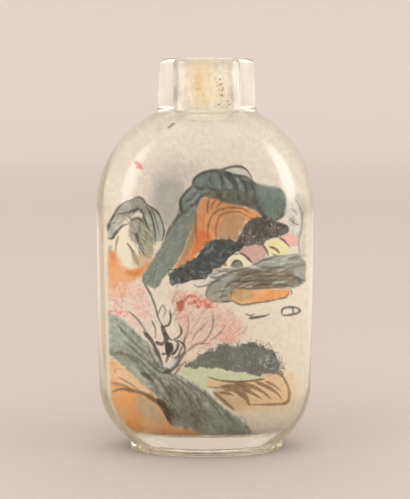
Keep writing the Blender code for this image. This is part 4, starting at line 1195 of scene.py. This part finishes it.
neck = {
    "intoGlass": 0.03,
    "columns": 360,
    "rows": 200,
    "frost": (0.875, 0.80, 0.69),
    "stain": (0.82, 0.66, 0.38),
    "stainDeep": (0.82, 0.58, 0.22),
    "speck": (0.22, 0.15, 0.09),
    "coverBottom": 0.85,
    "coverTop": 0.95,
    "fadeFrom": 59.5,
    "fadeTo": 63.0,
    "sideFrom": 2.4,
    "mottle": (0.86, 0.24),
    # Darkening of the frost along the bore's left and right sides and towards the lip
    "sideDarkening": (0.08, 0.3),
    "lipDarkening": 0.14,
    "lipDarkeningDepth": 1.6,
    "thin": (0.8, 0.34),
}


def stainNeck(sheet):
    # Snuff has left a yellow stain and dark specks in the bore. Its tones, shares of 1, are put in 255ths here.
    tan, deep, dark = (np.array(neck[key]) * 255 for key in ("stain", "stainDeep", "speck"))
    wash(sheet, [(-1.9, 69.2), (0.9, 69.4), (1.4, 66.5), (1.2, 62.5), (-0.6, 61.6), (-1.8, 64.0)], tan, 0.65,
         0.7, 0.8, 0.4, seed=61)
    wash(sheet, [(-1.3, 67.2), (-0.4, 67.4), (-0.2, 65.6), (-0.6, 64.2), (-1.3, 64.8)], deep, 0.95, 0.4, 0.5,
         0.4, seed=62)
    wash(sheet, [(1.7, 65.6), (2.5, 65.4), (2.4, 63.2), (1.8, 63.4)], tan, 0.7, 0.3, 0.4, 0.4, seed=63)
    stipple(sheet, [(1.5, 66.9), (2.2, 66.4), (2.7, 64.0), (2.0, 63.6)], 24, 0.24, [dark], 1.0, seed=64)
    stipple(sheet, [(1.8, 61.9), (3.2, 62.6), (3.5, 61.9), (2.6, 61.0)], 16, 0.24, [dark], 1.0, seed=65)
    stipple(sheet, [(-1.6, 67.0), (-0.2, 67.0), (0.2, 63.4), (-1.2, 63.6)], 26, 0.26, [deep, dark * 2.4],
            0.8, seed=67)
    stipple(sheet, [(-2.6, 68.6), (3.2, 68.6), (3.2, 61.6), (-2.6, 61.6)], 110, 0.2, [tan, deep, dark], 0.6,
            seed=66)


def buildNeckFrost():
    # The bore's wall as one ring of frost: mottled, thinner towards its lower end
    bore = bottle["mouthDiameter"] / 2 + neck["intoGlass"]
    top = bottle["height"] - bottle["mouthChamfer"] * 1.6
    low = neckRoot()[0] - bottle["boreBelowNeck"]
    turns = 2 * math.pi * np.arange(neck["columns"]) / neck["columns"]
    points = ovalGrid(rows(bore, bore, np.linspace(top, low, neck["rows"]), 2, bottle["lean"]), turns)
    mesh = gridMesh("neckFrost", points, True)
    x, y, z = (points[..., i].reshape(-1) for i in range(3))
    mottle = 0.6 * cloud(x + y * 3, z, 0.9, 9) + 0.4 * cloud(x + y * 3, z, 0.35, 10)
    sheet = {"x": np.where(y < 0, x, 99), "up": z}
    least, more = neck["mottle"]
    sheet["colour"] = np.array(neck["frost"]) * 255 * (least + more * mottle)[:, None]
    # The frost is darker in patches along the bore's left and right sides, and darker towards the lip
    side = ease(np.abs(x - bottle["lean"]), neck["sideFrom"], bore)
    patches = ease(cloud(x * 0.2 + y, z, 2.4, 15), 0.35, 0.75)
    least, more = neck["sideDarkening"]
    darkening = side * (least + more * patches) + neck["lipDarkening"] * ease(z, top - neck["lipDarkeningDepth"], top)
    sheet["colour"] = sheet["colour"] * (1 - darkening)[:, None]
    stainNeck(sheet)
    addPaint(mesh, sheet["colour"] / 255)
    higher = ease(z, neck["fadeFrom"], neck["fadeTo"])
    cover = neck["coverBottom"] + (neck["coverTop"] - neck["coverBottom"]) * higher
    least, more = neck["thin"]
    addCover(mesh, np.minimum(cover * (least + more * mottle), 1))
    addPiece("neckFrost", mesh, coveredMaterial("neck"))
    print("neckFrost built,", len(z), "points")


buildNeckFrost()


# Metres and degrees for the camera, metres for the stage and the lamps
camera = {
    "distance": 0.243,
    "height": 0.0607,
    "pitch": 5.786,
    "lens": 97.9,
    "sensor": 36.0,
    "clipStart": 0.01,
}


stage = {
    "columns": 192,
    "floorRows": 20,
    "bendRows": 24,
    "wallRows": 8,
    "floorRadius": 1.2,
    "bendRadius": 0.5,
    "wallHeight": 0.51,
    "floorColour": (0.328, 0.283, 0.256, 1.0),
    "wallColour": (0.453, 0.40, 0.376, 1.0),
    "cardColour": (0.88, 0.81, 0.76, 1.0),
    "backHeight": 1.5,
    "backFrom": 0.93,
    "backTo": 0.975,
    "blendFrom": 0.2,
    "blendTo": 1.5,
    "cardFrom": -0.036,
    "cardTo": -0.09,
    "sideFrom": 0.165,
    "sideTo": 0.25,
    "sideStart": 0.75,
    "sideFull": 0.45,
    "gap": 0.00005,
    "roughness": 0.9,
    "sheen": 0.1,
}


def sweepPoints():
    # The floor's disc, a quarter circle where it bends up, and the wall. The rise goes from 0 at the sides to
    # its full height behind the bottle, where the sine of the turn is near 1.
    s = stage
    edge = s["floorRadius"]
    bend = np.linspace(0, math.pi / 2, s["bendRows"])
    out = edge + s["bendRadius"] * np.sin(bend)[1:]
    radius = np.concatenate([np.linspace(0.001, edge, s["floorRows"]), out,
                             np.full(s["wallRows"], edge + s["bendRadius"])])
    level = np.concatenate([np.zeros(s["floorRows"]), s["bendRadius"] * (1 - np.cos(bend))[1:],
                            np.linspace(s["wallHeight"], s["backHeight"], s["wallRows"])])
    turns = 2 * math.pi * np.arange(s["columns"]) / s["columns"]
    behind = ease(np.sin(turns), s["backFrom"], s["backTo"])
    reach = radius[:, None]
    points = np.stack([reach * np.cos(turns), reach * np.sin(turns), level[:, None] * behind], 2) / mm
    points[..., 2] -= s["gap"] / mm
    return points


def paperMaterial():
    # Paper from the floor's tone near by to the wall's far off, and white card in front of the bottle and at
    # the sides: card = max(nearer, aside * beside). Aside grows with |x| / (y + camera distance), and beside
    # keeps the card away from the far wall.
    s = stage
    material, nodes, links = newMaterial("paper")
    output = nodes.new("ShaderNodeOutputMaterial")
    shader = nodes.new("ShaderNodeBsdfPrincipled")
    shader.inputs["Roughness"].default_value = s["roughness"]
    shader.inputs["Specular IOR Level"].default_value = s["sheen"]
    where = nodes.new("ShaderNodeTexCoord")
    split = nodes.new("ShaderNodeSeparateXYZ")
    away = calculation(nodes, "ShaderNodeVectorMath", "LENGTH")
    blend = mapRange(nodes, s["blendFrom"], s["blendTo"], smooth=False)
    tone = colourMix(nodes, s["floorColour"], s["wallColour"])
    links.new(where.outputs["Object"], away.inputs[0])
    links.new(where.outputs["Object"], split.inputs["Vector"])
    links.new(away.outputs["Value"], blend.inputs["Value"])
    links.new(blend.outputs["Result"], tone.inputs[0])
    nearer = mapRange(nodes, s["cardFrom"], s["cardTo"])
    links.new(split.outputs["Y"], nearer.inputs["Value"])
    sideways = calculation(nodes, "ShaderNodeMath", "ABSOLUTE")
    ahead = calculation(nodes, "ShaderNodeMath", "ADD")
    ahead.inputs[1].default_value = camera["distance"]
    ratio = calculation(nodes, "ShaderNodeMath", "DIVIDE")
    links.new(split.outputs["X"], sideways.inputs[0])
    links.new(split.outputs["Y"], ahead.inputs[0])
    links.new(sideways.outputs["Value"], ratio.inputs[0])
    links.new(ahead.outputs["Value"], ratio.inputs[1])
    aside = mapRange(nodes, s["sideFrom"], s["sideTo"])
    beside = mapRange(nodes, s["sideStart"], s["sideFull"])
    both = calculation(nodes, "ShaderNodeMath", "MULTIPLY")
    links.new(ratio.outputs["Value"], aside.inputs["Value"])
    links.new(away.outputs["Value"], beside.inputs["Value"])
    links.new(aside.outputs["Result"], both.inputs[0])
    links.new(beside.outputs["Result"], both.inputs[1])
    either = calculation(nodes, "ShaderNodeMath", "MAXIMUM")
    card = colourMix(nodes, s["floorColour"], s["cardColour"])
    links.new(nearer.outputs["Result"], either.inputs[0])
    links.new(both.outputs["Value"], either.inputs[1])
    links.new(either.outputs["Value"], card.inputs[0])
    links.new(tone.outputs[2], card.inputs[6])
    links.new(card.outputs[2], shader.inputs["Base Color"])
    links.new(shader.outputs["BSDF"], output.inputs["Surface"])
    return material


def buildStage():
    # A round floor that bends up into a high wall behind the bottle
    mesh = gridMesh("sweep", sweepPoints(), True)
    mesh.materials.append(paperMaterial())
    sweep = bpy.data.objects.new("sweep", mesh)
    bpy.context.scene.collection.objects.link(sweep)
    print("stage built")


buildStage()


# Bearing and height in degrees, seen from the camera's side. The light is even within the inner share of the
# lamp's half size and fades to its rim.
lamps = {
    "left": {"bearing": -63, "raised": 14, "away": 0.5, "width": 0.22, "height": 0.42, "power": 0.6},
    "front": {"bearing": -8, "raised": 52, "away": 0.9, "width": 1.6, "height": 0.9, "power": 2.5},
    "right": {"bearing": 74, "raised": 16, "away": 0.38, "width": 0.2, "height": 0.29, "power": 0.45},
    "back": {"bearing": 180, "raised": 58, "away": 0.5, "width": 0.7, "height": 0.3, "power": 0.45},
}
softbox = {
    "aim": 0.045,
    "rim": 0.5,
    "even": 0.2,
    "strength": 2.6,
}


def addSoftbox(name, bearing, raised, away, width, height, power):
    # A rectangular lamp at aim + away (sin a cos e, -cos a cos e, sin e), turned towards the aim
    a, e = math.radians(bearing), math.radians(raised)
    data = bpy.data.lights.new(name, "AREA")
    data.shape = "RECTANGLE"
    data.size = width
    data.size_y = height
    data.energy = power
    data.use_nodes = True
    nodes, links = data.node_tree.nodes, data.node_tree.links
    where = nodes.new("ShaderNodeNewGeometry")
    centred = calculation(nodes, "ShaderNodeVectorMath", "SUBTRACT")
    centred.inputs[1].default_value = (0.5, 0.5, 0)
    reach = calculation(nodes, "ShaderNodeVectorMath", "LENGTH")
    fade = mapRange(nodes, softbox["rim"], softbox["even"], 0.0, softbox["strength"])
    links.new(where.outputs["Parametric"], centred.inputs[0])
    links.new(centred.outputs["Vector"], reach.inputs[0])
    links.new(reach.outputs["Value"], fade.inputs["Value"])
    links.new(fade.outputs["Result"], nodes["Emission"].inputs["Strength"])
    lamp = bpy.data.objects.new(name, data)
    aim = Vector((0, 0, softbox["aim"]))
    towards = Vector((math.sin(a) * math.cos(e), -math.cos(a) * math.cos(e), math.sin(e)))
    lamp.location = aim + away * towards
    lamp.rotation_euler = (aim - lamp.location).to_track_quat("-Z", "Y").to_euler()
    lamp.visible_camera = False
    bpy.context.scene.collection.objects.link(lamp)


for name, lamp in lamps.items():
    addSoftbox(name + "Softbox", **lamp)
print("lamps set")


studio = {
    "bright": (1.95, 1.85, 1.755, 1.0),
    "dim": (0.84, 0.72, 0.64, 1.0),
    "behindFrom": 0.2,
    "behindTo": 0.7,
    "lowFrom": 0.82,
    "lowTo": 0.64,
}


def buildWorld():
    # An even pale room, dimmer low down behind the bottle: behind grows with the direction's y, low as its z
    # falls, and behind * low is the share of the dim tone
    world = bpy.data.worlds.new("studio")
    bpy.context.scene.world = world
    world.use_nodes = True
    nodes, links = world.node_tree.nodes, world.node_tree.links
    where = nodes.new("ShaderNodeTexCoord")
    split = nodes.new("ShaderNodeSeparateXYZ")
    behind = mapRange(nodes, studio["behindFrom"], studio["behindTo"])
    low = mapRange(nodes, studio["lowFrom"], studio["lowTo"])
    both = calculation(nodes, "ShaderNodeMath", "MULTIPLY")
    tone = colourMix(nodes, studio["bright"], studio["dim"])
    links.new(where.outputs["Generated"], split.inputs["Vector"])
    links.new(split.outputs["Y"], behind.inputs["Value"])
    links.new(split.outputs["Z"], low.inputs["Value"])
    links.new(behind.outputs["Result"], both.inputs[0])
    links.new(low.outputs["Result"], both.inputs[1])
    links.new(both.outputs["Value"], tone.inputs[0])
    links.new(tone.outputs[2], nodes["Background"].inputs["Color"])


def buildCamera():
    # Level with the shoulder, tilted down by the pitch
    data = bpy.data.cameras.new("camera")
    data.lens = camera["lens"]
    data.sensor_width = camera["sensor"]
    data.clip_start = camera["clipStart"]
    eye = bpy.data.objects.new("camera", data)
    eye.location = (0, -camera["distance"], camera["height"])
    eye.rotation_euler = (math.radians(90 - camera["pitch"]), 0, 0)
    bpy.context.scene.collection.objects.link(eye)
    bpy.context.scene.camera = eye


buildWorld()
buildCamera()
bpy.context.scene.view_settings.view_transform = "Standard"
# Light passes many walls of glass before it ends
light = bpy.context.scene.cycles
light.max_bounces = 24
light.diffuse_bounces = 12
light.glossy_bounces = 8
light.transmission_bounces = 24
print("room and camera set")
